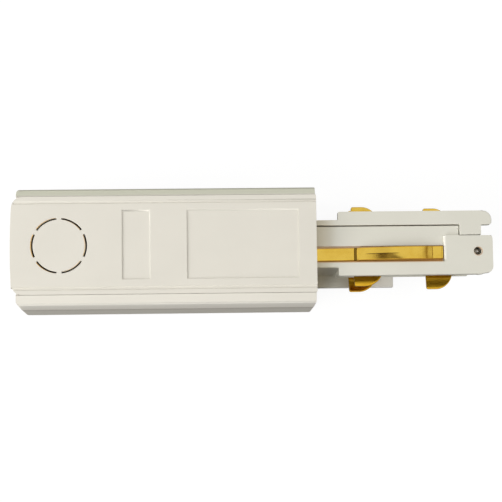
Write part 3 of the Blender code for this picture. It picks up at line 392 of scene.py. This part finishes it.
# Painted shade, painted warm light and a painted highlight on the tongue, with a dark ring round the lock
# hole
TONGUE_TINTS_AND_PAINTED_LIGHT = [
    (neck_shade, 0.9, (0.76, 0.70, 0.545)),
    (earth_lip_painted_glow, 0.55, (0.60, 0.40, 0.18)),
    (earth_gap_painted_shade, 0.85, (0.55, 0.24, 0.02)),
    (parting_painted_shade, 0.6, (0.30, 0.20, 0.11)),
    (lock_rim, 0.6, (0.45, 0.22, 0.06)),
    (flange_painted_light, 1, (0.84, 0.82, 0.755)),
    (block_edge_painted_highlight, 0.7, (0.92, 0.90, 0.82)),
]
# A darker orange along the strip's edges, and painted dark reflection, shade and shadow on the leaf and strip
GOLD_TINTS_AND_PAINTED_LIGHT = [
    (strip_edges, 0.7, (0.48, 0.22, 0.02)),
    (leaf_painted_dark_reflection, 0.55, (0.34, 0.19, 0.02)),
    (leaf_crease_painted_shade, 0.7, (0.10, 0.05, 0.005)),
    (leaf_shadow, 0.85, (0.10, 0.05, 0.005)),
]

finishes = {
    "case_plastic": moulded_plastic("case_plastic_finish", CASE_COLOUR, CASE_ROUGHNESS, tints_and_painted_light=CASE_PAINTED_LIGHT),
    "tongue_plastic": moulded_plastic(
        "tongue_plastic_finish", (0.705, 0.692, 0.611), 0.42, 0.12 * MM, TONGUE_TINTS_AND_PAINTED_LIGHT
    ),
    "block_plastic": moulded_plastic("block_plastic_finish", (0.62, 0.61, 0.56), 0.5),
    "contact_metal": gold_strip("contact_gold_finish", (0.73, 0.50, 0.088), GOLD_ROUGHNESS, GOLD_TINTS_AND_PAINTED_LIGHT),
    "cage_metal": plated_steel("cage_brass_finish", (0.70, 0.55, 0.27), 0.34),
    "screw_metal": plated_steel("screw_steel_finish", (0.60, 0.59, 0.57), 0.3),
}

# Finishes of single pieces, in place of their slot's
# A deeper gold for the near blades: painted reflection of the tongue's shaded underside
NEAR_BLADE_SHADED_GOLD = gold_strip("near_blade_shaded_gold_finish", (0.74, 0.44, 0.035), GOLD_ROUGHNESS)
# The room-side case's finish: the case colour darkened as painted shade
COVER_PLASTIC = moulded_plastic(
    "cover_plastic_finish", shade(CASE_COLOUR, COVER_PAINTED_DARKENING), CASE_ROUGHNESS, tints_and_painted_light=COVER_PAINTED_SHADE
)

SLOT_OF = {row["node"]: row["material_slot"] for row in frame["record"]["subparts"]}
BODY_OF = {name: body for body, names in frame["record"]["behaviour"]["bodies"].items() for name in names}

for name, slot in SLOT_OF.items():
    mesh = frame["nodes"][name].data
    mesh.materials.clear()
    mesh.materials.append(finishes[slot])


# Making of the pieces

BROAD_FACE = 1.0 * MM ** 2
SQUARE_ON = 0.9999
WELD = 0.0005 * MM
MOULDING_WELD = 0.002 * MM
FLAT_TURN = math.radians(0.5)
ROUNDED_TURN = math.radians(35)
EDGE_ROOM = 1.5


def linked(name, data):
    """A new object in the scene."""
    thing = bpy.data.objects.new(name, data)
    bpy.context.scene.collection.objects.link(thing)
    return thing


def add_piece(name, mesh, node, sharp):
    """Makes the mesh a piece with a CAD node's body, slot and finish, sharp at edges over this angle."""
    slot = SLOT_OF[node]
    mesh.materials.clear()
    mesh.materials.append(finishes[slot])
    mesh.shade_smooth()
    mesh.set_sharp_from_angle(angle=math.radians(sharp))
    piece = linked(name, mesh)
    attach(piece, BODY_OF[node])
    return piece


def dress(name, mesh, node, sharp):
    """Makes the mesh a piece that stands for a CAD node."""
    piece = add_piece(name, mesh, node, sharp)
    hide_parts(node)
    return piece


def grid_faces(rows, columns, first=0):
    """Faces of a grid closed round each row and at both ends.

    Each face joins a point, the next in its row and the two beyond.
    """
    index = first + np.arange(rows * columns).reshape(rows, columns)
    following = np.roll(index, -1, axis=1)
    quads = np.stack([index[:-1], following[:-1], following[1:], index[1:]], axis=-1)
    return quads.reshape(-1, 4).tolist() + [index[0][::-1].tolist(), index[-1].tolist()]


def mesh_of(name, points, faces):
    """A mesh with every face turned outward."""
    mesh = bpy.data.meshes.new(name)
    mesh.from_pydata(points.reshape(-1, 3).tolist(), [], faces)
    bm = bmesh.new()
    bm.from_mesh(mesh)
    bmesh.ops.remove_doubles(bm, verts=bm.verts, dist=WELD)
    bmesh.ops.recalc_face_normals(bm, faces=bm.faces)
    bm.to_mesh(mesh)
    bm.free()
    return mesh


def settle(piece):
    """Applies the modifiers, and gives the corners of each broad upright or level face its own normal."""
    mesh = bpy.data.meshes.new_from_object(piece.evaluated_get(bpy.context.evaluated_depsgraph_get()))
    corners = np.empty(len(mesh.loops) * 3)
    facing = np.empty(len(mesh.polygons) * 3)
    area = np.empty(len(mesh.polygons))
    count = np.empty(len(mesh.polygons), dtype=int)
    mesh.corner_normals.foreach_get("vector", corners)
    mesh.polygons.foreach_get("normal", facing)
    mesh.polygons.foreach_get("area", area)
    mesh.polygons.foreach_get("loop_total", count)
    corners = corners.reshape(-1, 3)
    facing = facing.reshape(-1, 3)
    broad = (area > BROAD_FACE) & (np.abs(facing).max(axis=1) > SQUARE_ON)
    own = np.repeat(broad, count)
    corners[own] = np.repeat(facing, count, axis=0)[own]
    mesh.normals_split_custom_set(corners)
    piece.modifiers.clear()
    piece.data = mesh
    return piece


def softened(name, node, radius, reshape=None, cuts=()):
    """A copy of a moulding with whole flat faces, and its outer edges rounded by this radius.

    An edge is rounded where it is convex, turns by enough, and has no edge too short for the radius
    beside it. Each cut is a level at which the faces are divided, so that the reshaping can bend them there.
    """
    mesh = frame["nodes"][node].data.copy()
    mesh.name = name
    bm = bmesh.new()
    bm.from_mesh(mesh)
    bmesh.ops.remove_doubles(bm, verts=bm.verts, dist=MOULDING_WELD)
    bmesh.ops.dissolve_limit(bm, angle_limit=FLAT_TURN, verts=bm.verts, edges=bm.edges)
    for level in cuts:
        whole = [*bm.verts, *bm.edges, *bm.faces]
        bmesh.ops.bisect_plane(bm, geom=whole, dist=0.001 * MM, plane_co=(0, 0, level), plane_no=(0, 0, 1))
    shortest = {vert: min(edge.calc_length() for edge in vert.link_edges) for vert in bm.verts}
    weight = bm.edges.layers.float.new("bevel_weight_edge")
    for edge in bm.edges:
        roomy = all(shortest[vert] > EDGE_ROOM * radius for vert in edge.verts)
        if roomy and edge.calc_face_angle_signed(0) > ROUNDED_TURN:
            edge[weight] = 1
    bm.to_mesh(mesh)
    bm.free()
    if reshape:
        places = np.empty(len(mesh.vertices) * 3)
        mesh.vertices.foreach_get("co", places)
        mesh.vertices.foreach_set("co", reshape(places.reshape(-1, 3)).ravel())
        mesh.update()
    piece = dress(name, mesh, node, 50)
    bevel = piece.modifiers.new("edges", "BEVEL")
    bevel.width = radius
    bevel.segments = 3
    bevel.limit_method = "WEIGHT"
    bevel.use_clamp_overlap = False
    even = piece.modifiers.new("even_shading", "WEIGHTED_NORMAL")
    even.keep_sharp = True
    even.weight = 100
    return settle(piece)


# Mouldings

PLATE_RIM = 0.8 * MM
PLATE_REACH = 0.12 * MM
PLATE_EDGE_Z = TOP_Z - 1.9 * MM
NEAR_SEAM_SHIFT = 1.1 * MM
NEAR_BAND = 2.35 * MM
FAR_GROOVE = (13.1 * MM, 14.4 * MM)
FAR_GROOVE_SLOPE = 0.60 * MM
LABEL_RIGHT_X = TRACK_X - 50.8 * MM
RECESS_FAR_Y = 11.25 * MM
RECESS_FLOOR_Z = TOP_Z - 0.3 * MM
LABEL_RAMP = 0.25 * MM
FAR_RAMP = 0.6 * MM

POCKET_GAP = 0.25 * MM
POCKET_BAND = 0.15 * MM
WALL_LEAN = 0.020
WALL_CURVE = 1.4
WALL_FOOT_Z = 20.6 * MM
WALL_INNER_Y = 16.5 * MM
WALL_BAND = 1.1 * MM
FAR_CORNER_RADIUS = 2.0 * MM
FAR_CORNER_MIDDLE = np.array([PLATE_LOW.x + 3.2 * MM, 16.0 * MM])
FAR_CORNER_FOOT_Z = WALL_FOOT_Z + 2 * MM
UPPER_CASE_CUTS = [23 * MM, 25.5 * MM, 28 * MM, 30 * MM]


def shape_plate(places):
    """Brings both rims closer to the shoulders, and the near one's top edge further in.

    The far walls of the recesses and the label's right wall become short ramps, and the outer wall of the
    far groove a gentler slope.
    """
    x, y, z = places.T
    rim = np.abs(y) > PLATE_HIGH.y - PLATE_RIM
    near = (y < -PLATE_HIGH.y + NEAR_BAND) & (z > PLATE_EDGE_Z)
    floor = np.abs(z - RECESS_FLOOR_Z) < 0.01 * MM
    at_far = floor & (np.abs(y - RECESS_FAR_Y) < 0.05 * MM)
    at_right = floor & (np.abs(x - LABEL_RIGHT_X) < 0.05 * MM)
    places[:, 1] += np.sign(y) * PLATE_REACH * rim + near * NEAR_SEAM_SHIFT - at_far * FAR_RAMP
    places[:, 0] -= at_right * LABEL_RAMP
    groove = (y > FAR_GROOVE[0]) & (y < FAR_GROOVE[1]) & (z > PLATE_EDGE_Z + 0.3 * MM)
    outer_foot = groove & (y > sum(FAR_GROOVE) / 2) & (z < TOP_Z - 0.2 * MM)
    places[:, 1] -= outer_foot * FAR_GROOVE_SLOPE
    return places


def shape_upper_case(places):
    """Moves the pocket's near wall in with the plate, bends the case's near wall in and rounds a corner.

    The wall's lean grows with the height over its foot, as a straight part and a square part.
    """
    _, y, z = places.T
    pocket = (np.abs(y + PLATE_HIGH.y + POCKET_GAP) < POCKET_BAND) & (z > PLATE_EDGE_Z - 0.3 * MM)
    height = np.maximum(z - WALL_FOOT_Z, 0)
    share = np.clip((-y - WALL_INNER_Y) / WALL_BAND, 0, 1)
    lean = (WALL_LEAN * height + WALL_CURVE * height ** 2) * share
    away = places[:, :2] - FAR_CORNER_MIDDLE
    distance = np.hypot(*away.T)
    outside = (away[:, 0] < 0) & (away[:, 1] > 0) & (distance > FAR_CORNER_RADIUS)
    at_corner = (outside & (z > FAR_CORNER_FOOT_Z))[:, None]
    rounded = FAR_CORNER_MIDDLE + away * FAR_CORNER_RADIUS / np.maximum(distance, 0.1 * MM)[:, None]
    places[:, 1] += pocket * NEAR_SEAM_SHIFT + lean
    places[:, :2] = np.where(at_corner, rounded, places[:, :2])
    return places


softened("ceiling_plate", "back_plate", 0.10 * MM, shape_plate)
softened("upper_case", "housing_body", 0.12 * MM, shape_upper_case, UPPER_CASE_CUTS)
softened("room_side_case", "front_cover", 0.12 * MM).data.materials[0] = COVER_PLASTIC
softened("near_moulding", "tongue_near", 0.16 * MM)
softened("far_moulding", "tongue_far", 0.16 * MM)


# Fillet of the end block, in millimetres from the track side of the plate

BLOCK_BACK_X = 39.72
BLOCK_TOP = 30.09
BLOCK_FILLET = 0.54
BLOCK_FILLET_DROP = 0.75
BLOCK_FILLET_Y = (-4.15, 2.7)


def build_block_fillet():
    """A quarter ellipse of plastic down the end block's left face, carried along it and closed behind."""
    turn = np.linspace(0, math.pi / 2, 9)
    x = np.append(BLOCK_BACK_X - BLOCK_FILLET * np.sin(turn), BLOCK_BACK_X)
    z = np.append(BLOCK_TOP - BLOCK_FILLET_DROP * (1 - np.cos(turn)), BLOCK_TOP - BLOCK_FILLET_DROP)
    y = np.linspace(*BLOCK_FILLET_Y, 8)
    points = np.stack(np.broadcast_arrays(x + TRACK_X / MM, y[:, None], z), axis=-1) * MM
    mesh = mesh_of("block_fillet", points, grid_faces(*points.shape[:2]))
    add_piece("block_fillet", mesh, "tongue_near", 50)


build_block_fillet()


# Earth strip, in millimetres from the track side of the plate

EARTH_Z = 29.15
EARTH_TAB_Z = 24.9
EARTH_TAB_X = -14.4
EARTH_DROP_X = -7.4
EARTH_BEND = 1.0
EARTH_HALF_WIDTH = 1.95
EARTH_HALF_THICKNESS = 0.25
EARTH_SECTION_POWER = 14
TAB_WIDENING = 1.5
LEAF_FOLD_X = 38.4
LEAF_FLAT = 2.3
LEAF_TIP_X = 12.55
LEAF_LIFT = 0.9
LEAF_CROWN = 0.05
NEAR_HALF_SLOPE = 0.19
CREASE_ACROSS = 0.05
NOTCH_DEPTH = 0.3
NOTCH_SOFT = 0.08
# Shares of the leaf's length from its fold, and its slope at each
LEAF_SLOPES = ((0, 0.02, 0.08, 0.11, 0.38, 0.93, 0.97, 1.0), (0, 0.25, 0.25, 0.17, 0, -0.165, -0.20, -0.45))
# Stretches of the flat run, closer together at the notch: first place, last place and number of points
RUN_STEPS = ((EARTH_DROP_X + EARTH_BEND, 11, 24), (11.1, 13.2, 43), (13.5, LEAF_FOLD_X, 40))


def smooth(values, low, high):
    """0 below low, 1 above high and an even S between."""
    share = np.clip((values - low) / (high - low), 0, 1)
    return share * share * (3 - 2 * share)


def earth_line():
    """Side line of the strip: tab, quarter turns up to the flat run, half turn of the fold, then the leaf.

    The leaf's height is the running sum of its slope, which changes evenly between the listed places.
    """
    turn = np.linspace(0, math.pi / 2, 9)
    forward = EARTH_BEND * np.sin(turn)
    aside = EARTH_BEND * (1 - np.cos(turn))
    low_turn = np.stack([EARTH_DROP_X - EARTH_BEND + forward, EARTH_TAB_Z + aside])
    high_turn = np.stack([EARTH_DROP_X + aside, EARTH_Z - EARTH_BEND + forward])
    tab = np.stack([np.linspace(EARTH_TAB_X, EARTH_DROP_X - EARTH_BEND, 12), np.full(12, EARTH_TAB_Z)])
    run_x = np.concatenate([np.linspace(*steps) for steps in RUN_STEPS])
    run = np.stack([run_x, np.full(len(run_x), EARTH_Z)])
    half_turn = np.linspace(0, math.pi, 15)
    fold = LEAF_LIFT / 2
    folded = np.stack([LEAF_FOLD_X + fold * np.sin(half_turn), EARTH_Z + fold * (1 - np.cos(half_turn))])
    share = np.linspace(0, 1, 130)
    leaf_x = LEAF_FOLD_X - LEAF_FLAT + (LEAF_TIP_X - LEAF_FOLD_X + LEAF_FLAT) * share
    slope = np.interp(share, *LEAF_SLOPES)
    rise = np.append(0, np.cumsum((slope[1:] + slope[:-1]) / 2 * -np.diff(leaf_x)))
    leaf = np.stack([leaf_x, EARTH_Z + LEAF_LIFT + rise])
    line = np.concatenate([tab[:, :-1], low_turn, high_turn, run[:, 1:], folded[:, 1:], leaf], axis=1)
    on_leaf = np.concatenate([np.full(line.shape[1] - len(share), -1.0), share])
    return line[0], line[1], on_leaf


def build_earth_strip():
    """A flat bar with rounded edges carried along the side line; its section is a superellipse.

    The tab is half as wide, the leaf's tip is rounded, and a shallow notch crosses the run by the tip.
    On the leaf the near half slopes down from a crease in the middle, and the whole strip lies a little
    askew.
    """
    x, z, on_leaf = earth_line()
    step = np.stack([np.gradient(x), np.gradient(z)])
    step /= np.linalg.norm(step, axis=0)
    side = np.sin(np.linspace(-math.pi / 2, math.pi / 2, 31))
    rise = np.maximum(1 - np.abs(side) ** EARTH_SECTION_POWER, 0) ** (1 / EARTH_SECTION_POWER)
    across = np.concatenate([side, side[-2:0:-1]])
    through = np.concatenate([rise, -rise[-2:0:-1]]) * EARTH_HALF_THICKNESS
    half_width = EARTH_HALF_WIDTH * np.sqrt(1 - smooth(on_leaf, 0.955, 1.0) ** 3 * 0.5)
    high = EARTH_MIDDLE_Y + half_width
    low = EARTH_MIDDLE_Y - half_width
    in_tab = 1 - smooth(x + z - EARTH_DROP_X - EARTH_TAB_Z, 0, TAB_WIDENING)
    low = low + in_tab * np.where(on_leaf < 0, EARTH_HALF_WIDTH, 0)
    askew = STRIP_YAW * (np.maximum(x, 0) - YAW_MIDDLE_X)
    y = ((high + low) / 2 + askew)[:, None] + ((high - low) / 2)[:, None] * across
    creased = smooth(on_leaf, 0.30, 0.58) * (1 - smooth(on_leaf, 0.97, 1.0))
    slope = NEAR_HALF_SLOPE * creased[:, None] * np.maximum(CREASE_ACROSS - across, 0)
    crown = LEAF_CROWN * smooth(on_leaf, 0, 0.2)[:, None] * across ** 2
    into, out_of = (smooth(x, place - NOTCH_SOFT, place + NOTCH_SOFT) for place in NOTCH)
    notch = NOTCH_DEPTH * (into * (1 - out_of) * (on_leaf < 0))[:, None] * (through > 0)
    grid_x = x[:, None] - step[1][:, None] * through
    grid_z = z[:, None] + step[0][:, None] * through - slope - crown - notch
    points = np.stack([grid_x * MM + TRACK_X, y * MM, grid_z * MM], axis=-1)
    dress("earth_strip", mesh_of("earth_strip", points, grid_faces(*points.shape[:2])), "earth_contact", 60)


# Side contacts, in millimetres from the track side of the plate

TONGUE_MIDDLE_Y = 0.6
WEB_HALF = 7.3
STRIP_Y = {-1: -4.5, 1: 4.2}
STRIP_HALF = 1.0
STRIP_END = 0.2
STRIP_LAP = 0.5
STRIP_TAPER = 0.9
STRIP_SECTION_POWER = 10
BLADE_HALF_THICKNESS = 0.5
BLADE_EDGE = 0.28
BLADE_LIFT = 0.15
BLADE_SAG = 0.010
BLADE_SLANT = 0.3
BLADE_CORNER = 0.6
BLADE_NOSE = 3.4
BLADE_MIDDLE = 0.40
BLADE_OUTLINE_POINTS = 220
# Side, level, the blade's start, length and reach, and the strip's start
SIDE_CONTACTS = {
    "line_contact_1": (-1, 21.9, 11.9, 9.2, 12.5, -22.7),
    "neutral_contact": (1, 21.9, 11.2, 8.6, 12.3, -22.7),
    "line_contact_2": (-1, 13.9, 35.3, 8.6, 12.9, -32.2),
    "line_contact_3": (1, 13.9, 34.7, 8.6, 12.75, -32.2),
    "data_contact_1": (-1, 8.1, 11.4, 9.0, 13.0, -41.7),
    "data_contact_2": (1, 8.1, 11.4, 9.0, 13.0, -41.7),
}


def blade_outline(side, start, length, reach):
    """Plan of a blade: a slanted front, a small round corner, then a quarter ellipse back to the web."""
    web = TONGUE_MIDDLE_Y + side * WEB_HALF
    tip = TONGUE_MIDDLE_Y + side * reach
    inner = STRIP_Y[side] - side * STRIP_HALF * 0.6
    corner = np.linspace(0, math.pi / 2, 10)
    round_x = start + BLADE_SLANT + BLADE_CORNER * (1 - np.cos(corner))
    round_y = tip - side * BLADE_CORNER * (1 - np.sin(corner))
    ellipse = np.linspace(0, math.pi / 2, 40)[1:]
    nose = start + BLADE_NOSE
    end = start + length
    back_x = nose + (end - nose) * np.sin(ellipse)
    back_y = web + (tip - web) * np.cos(ellipse)
    x = np.concatenate([[start], round_x, back_x, [end, start]])
    y = np.concatenate([[inner], round_y, back_y, [inner, inner]])
    so_far = np.append(0, np.cumsum(np.hypot(np.diff(x), np.diff(y))))
    even = np.linspace(0, so_far[-1], BLADE_OUTLINE_POINTS + 1)[:-1]
    return np.interp(even, so_far, x), np.interp(even, so_far, y)


def blade_points(side, level, start, length, reach):
    """Points of a blade, on lines between its middle and its outline, of the upper and then the lower face.

    Each face falls away as a quarter circle within the edge's radius of the outline, and the blade lifts
    outward from the web, less and less.
    """
    rim_x, rim_y = blade_outline(side, start, length, reach)
    inward_x = start + length * BLADE_MIDDLE - rim_x
    inward_y = (STRIP_Y[side] + TONGUE_MIDDLE_Y + side * reach) / 2 - rim_y
    ahead_x, ahead_y = (np.roll(rim, -1) - np.roll(rim, 1) for rim in (rim_x, rim_y))
    depth = np.abs(ahead_x * inward_y - ahead_y * inward_x) / np.hypot(ahead_x, ahead_y)
    turn = np.linspace(0, math.pi / 2, 9)
    on_edge = BLADE_EDGE * (1 - np.cos(turn))[:, None] / depth
    flat = np.linspace(0, 1, 16)[1:, None]
    share = np.concatenate([on_edge, on_edge[-1] + (1 - on_edge[-1]) * flat])
    fall = np.concatenate([BLADE_EDGE * (1 - np.sin(turn)), np.zeros(len(flat))])[:, None]
    x = rim_x + inward_x * share
    y = rim_y + inward_y * share
    out = np.maximum((y - TONGUE_MIDDLE_Y) * side - WEB_HALF, 0)
    middle_z = level + BLADE_LIFT * out - BLADE_SAG * out ** 2
    upper = np.stack([x, y, middle_z + BLADE_HALF_THICKNESS - fall], axis=-1)
    lower = np.stack([x, y, middle_z - BLADE_HALF_THICKNESS + fall], axis=-1)
    return np.concatenate([upper[::-1], lower])


def strip_points(side, level, start, strip_start):
    """Points of the flat strip behind a blade, narrower at both ends; its section is a superellipse."""
    lap = start + STRIP_LAP
    x = np.array([strip_start, strip_start + STRIP_END, lap, lap + STRIP_END])[:, None]
    shrink = np.array([STRIP_TAPER, 1, 1, STRIP_TAPER])[:, None]
    around = np.linspace(0, 2 * math.pi, 32, endpoint=False)
    across, through = (
        np.sign(part) * np.abs(part) ** (2 / STRIP_SECTION_POWER) for part in (np.cos(around), np.sin(around))
    )
    y = STRIP_Y[side] + shrink * STRIP_HALF * across
    z = level + shrink * (BLADE_HALF_THICKNESS - 0.02) * through
    return np.stack([x + 0 * across, y, z], axis=-1)


def build_side_contact(name):
    """A blade with a rounded rim on the end of a flat strip."""
    side, level, start, length, reach, strip_start = SIDE_CONTACTS[name]
    blade = blade_points(side, level, start, length, reach)
    strip = strip_points(side, level, start, strip_start)
    blade_count = blade.shape[0] * blade.shape[1]
    faces = grid_faces(*blade.shape[:2]) + grid_faces(*strip.shape[:2], first=blade_count)
    points = np.concatenate([blade.reshape(-1, 3), strip.reshape(-1, 3)]) * MM
    points[:, 0] += TRACK_X
    piece_name = name.replace("contact", "blade")
    piece = dress(piece_name, mesh_of(piece_name, points, faces), name, 50)
    # The near blades take the gold with the painted reflection of the tongue's shaded underside
    if side < 0:
        piece.data.materials[0] = NEAR_BLADE_SHADED_GOLD


build_earth_strip()
for contact in SIDE_CONTACTS:
    build_side_contact(contact)


# Studio

# Lamps: direction round the part and above the floor in degrees, and power in watts
LAMPS = {
    "left_box": (180, 25, 7.0),
    "near_left_box": (225, 25, 5.15),
    "near_left_top": (225, 55, 1.5),
    "right_top": (0, 55, 4.4),
    "far_box": (80, 25, 1.1),
}
LAMP_DISTANCE = 1.0
LAMP_SIZE = 0.55
# Cards that show only in gloss: direction as above, distance, width, height and colour
CARDS = {
    "camera_shade": (280, 83, 0.60, 0.085, 0.12, (0.08, 0.03, 0.0)),
    "right_flag": (0, 57, 0.60, 0.50, 0.09, (0.35, 0.25, 0.1)),
    "left_glow": (195, 38, 0.70, 0.35, 0.50, (2.2, 2.1, 2.0)),
}
SQUARE = [(-1, -1), (1, -1), (1, 1), (-1, 1)]
FLOOR_HALF = 3.0
FLOOR_TO_PART = (0.13, 0.125, 0.115, 1)
FLOOR_PALE = (0.9, 0.9, 0.9, 1)
FLOOR_GLOW = 1.05
FLOOR_GLOW_SHARE = 0.88
FLOOR_IN_GLOSS = 0.15
SURROUND_TO_PART = (0.042, 0.034, 0.020)
WHITE = (1.0, 1.0, 1.0)


def placed(azimuth, elevation, distance):
    """A point in this direction from the middle of the floor."""
    turn = Matrix.Rotation(math.radians(azimuth), 3, "Z") @ Matrix.Rotation(-math.radians(elevation), 3, "Y")
    return turn @ Vector((distance, 0, 0))


def seen_by_eye(nodes, in_gloss=1.0):
    """1 for rays from the camera or through glass, and this share for those that it sees mirrored."""
    rays = ("Is Camera Ray", "Is Glossy Ray", "Is Transmission Ray")
    path = [nodes.node("ShaderNodeLightPath", output=ray) for ray in rays]
    return path[0].math("MAXIMUM", (path[1] * in_gloss).math("MAXIMUM", path[2]))


def plain_material(name):
    """A material with no shader yet, with its nodes and the socket for its surface."""
    material = bpy.data.materials.new(name)
    material.use_nodes = True
    tree = material.node_tree
    tree.nodes.remove(tree.nodes["Principled BSDF"])
    return material, Nodes(tree), tree.nodes["Material Output"].inputs["Surface"]


def build_card(name, place, half_width, half_height, colour):
    """A plain card that faces the part and shows only in its gloss."""
    turn = (-place).to_track_quat("-Z", "Y").to_matrix()
    corners = [place + turn @ Vector((x * half_width, y * half_height, 0)) for x, y in SQUARE]
    mesh = bpy.data.meshes.new(name)
    mesh.from_pydata(corners, [], [(0, 1, 2, 3)])
    material, nodes, surface = plain_material(name)
    nodes.feed(surface, nodes.node("ShaderNodeEmission", None, {"Color": (*colour, 1), "Strength": 1.0}))
    mesh.materials.append(material)
    card = linked(name, mesh)
    card.visible_camera = False
    card.visible_diffuse = False
    card.visible_shadow = False


def build_floor():
    """A floor that is white to the eye and faint in gloss, and throws little light on the part."""
    mesh = bpy.data.meshes.new("floor")
    mesh.from_pydata([(x * FLOOR_HALF, y * FLOOR_HALF, 0) for x, y in SQUARE], [], [(0, 1, 2, 3)])
    floor = linked("floor", mesh)
    material, nodes, surface = plain_material("pale_floor")
    seen = seen_by_eye(nodes, FLOOR_IN_GLOSS)
    lit = nodes.node("ShaderNodeBsdfDiffuse", None, {"Color": FLOOR_TO_PART})
    pale = nodes.node("ShaderNodeBsdfDiffuse", None, {"Color": FLOOR_PALE})
    white = nodes.node("ShaderNodeEmission", None, {"Color": (*WHITE, 1), "Strength": FLOOR_GLOW})
    shown = nodes.node("ShaderNodeMixShader", None, {0: FLOOR_GLOW_SHARE, 1: pale, 2: white})
    nodes.feed(surface, nodes.node("ShaderNodeMixShader", None, {0: seen, 1: lit, 2: shown}))
    mesh.materials.append(material)


def build_lamp(name, azimuth, elevation, power):
    """A square soft box that faces the part and doesn't show in its gloss."""
    light = bpy.data.lights.new(name, "AREA")
    light.shape = "SQUARE"
    light.size = LAMP_SIZE
    light.energy = power
    lamp = linked(name, light)
    lamp.location = placed(azimuth, elevation, LAMP_DISTANCE)
    lamp.rotation_euler = (-lamp.location).to_track_quat("-Z", "Y").to_euler()
    lamp.visible_glossy = False


def build_studio():
    """A pale floor under five soft boxes, in a surround that is white in gloss and to the eye."""
    build_floor()
    for name, (azimuth, elevation, distance, width, height, colour) in CARDS.items():
        build_card(name, placed(azimuth, elevation, distance), width / 2, height / 2, colour)
    for name, (azimuth, elevation, power) in LAMPS.items():
        build_lamp(name, azimuth, elevation, power)
    world = bpy.data.worlds.new("studio")
    world.use_nodes = True
    bpy.context.scene.world = world
    nodes = Nodes(world.node_tree)
    surround = nodes.mix(seen_by_eye(nodes), SURROUND_TO_PART, WHITE)
    nodes.feed(world.node_tree.nodes["Background"].inputs["Color"], surround)


# Camera, fitted to the photograph; picture points are in its pixels, counted from the top left

PICTURE_SIZE = 502
FOCAL_PIXELS = 1807.0
PLUMB_POINT = (193.0, 460.0)
CAMERA_ROLL = math.radians(0.8)
ANCHOR_PIXEL = (316.9, 244.5)
ANCHOR_SIDE_Y = 0.05 * MM
ANCHOR_PIXELS_PER_METRE = 3278.0
SENSOR_WIDTH = 36.0
CLIP_START = 0.01


def build_camera():
    """Turns the camera so that straight down meets the plumb point, and the anchor falls on its pixel."""
    middle = PICTURE_SIZE / 2
    down = Vector((PLUMB_POINT[0] - middle, PLUMB_POINT[1] - middle, FOCAL_PIXELS)).normalized()
    up = -down
    along = Vector((math.cos(CAMERA_ROLL), -math.sin(CAMERA_ROLL), 0))
    along = (along - up * along.dot(up)).normalized()
    aside = up.cross(along)
    to_world = Matrix((along, aside, up))
    depth = FOCAL_PIXELS / ANCHOR_PIXELS_PER_METRE
    offset = [(pixel - middle) / FOCAL_PIXELS * depth for pixel in ANCHOR_PIXEL]
    anchor = Vector((TRACK_X, ANCHOR_SIDE_Y, TOP_Z))
    place = anchor - to_world @ Vector((*offset, depth))
    camera = bpy.data.cameras.new("camera")
    camera.sensor_width = SENSOR_WIDTH
    camera.lens = SENSOR_WIDTH * FOCAL_PIXELS / PICTURE_SIZE
    camera.clip_start = CLIP_START
    holder = linked("camera", camera)
    turn = to_world @ Matrix.Diagonal((1, -1, -1))
    holder.matrix_world = Matrix.Translation(place) @ turn.to_4x4()
    bpy.context.scene.camera = holder


build_studio()
build_camera()
bpy.context.scene.view_settings.view_transform = "Standard"
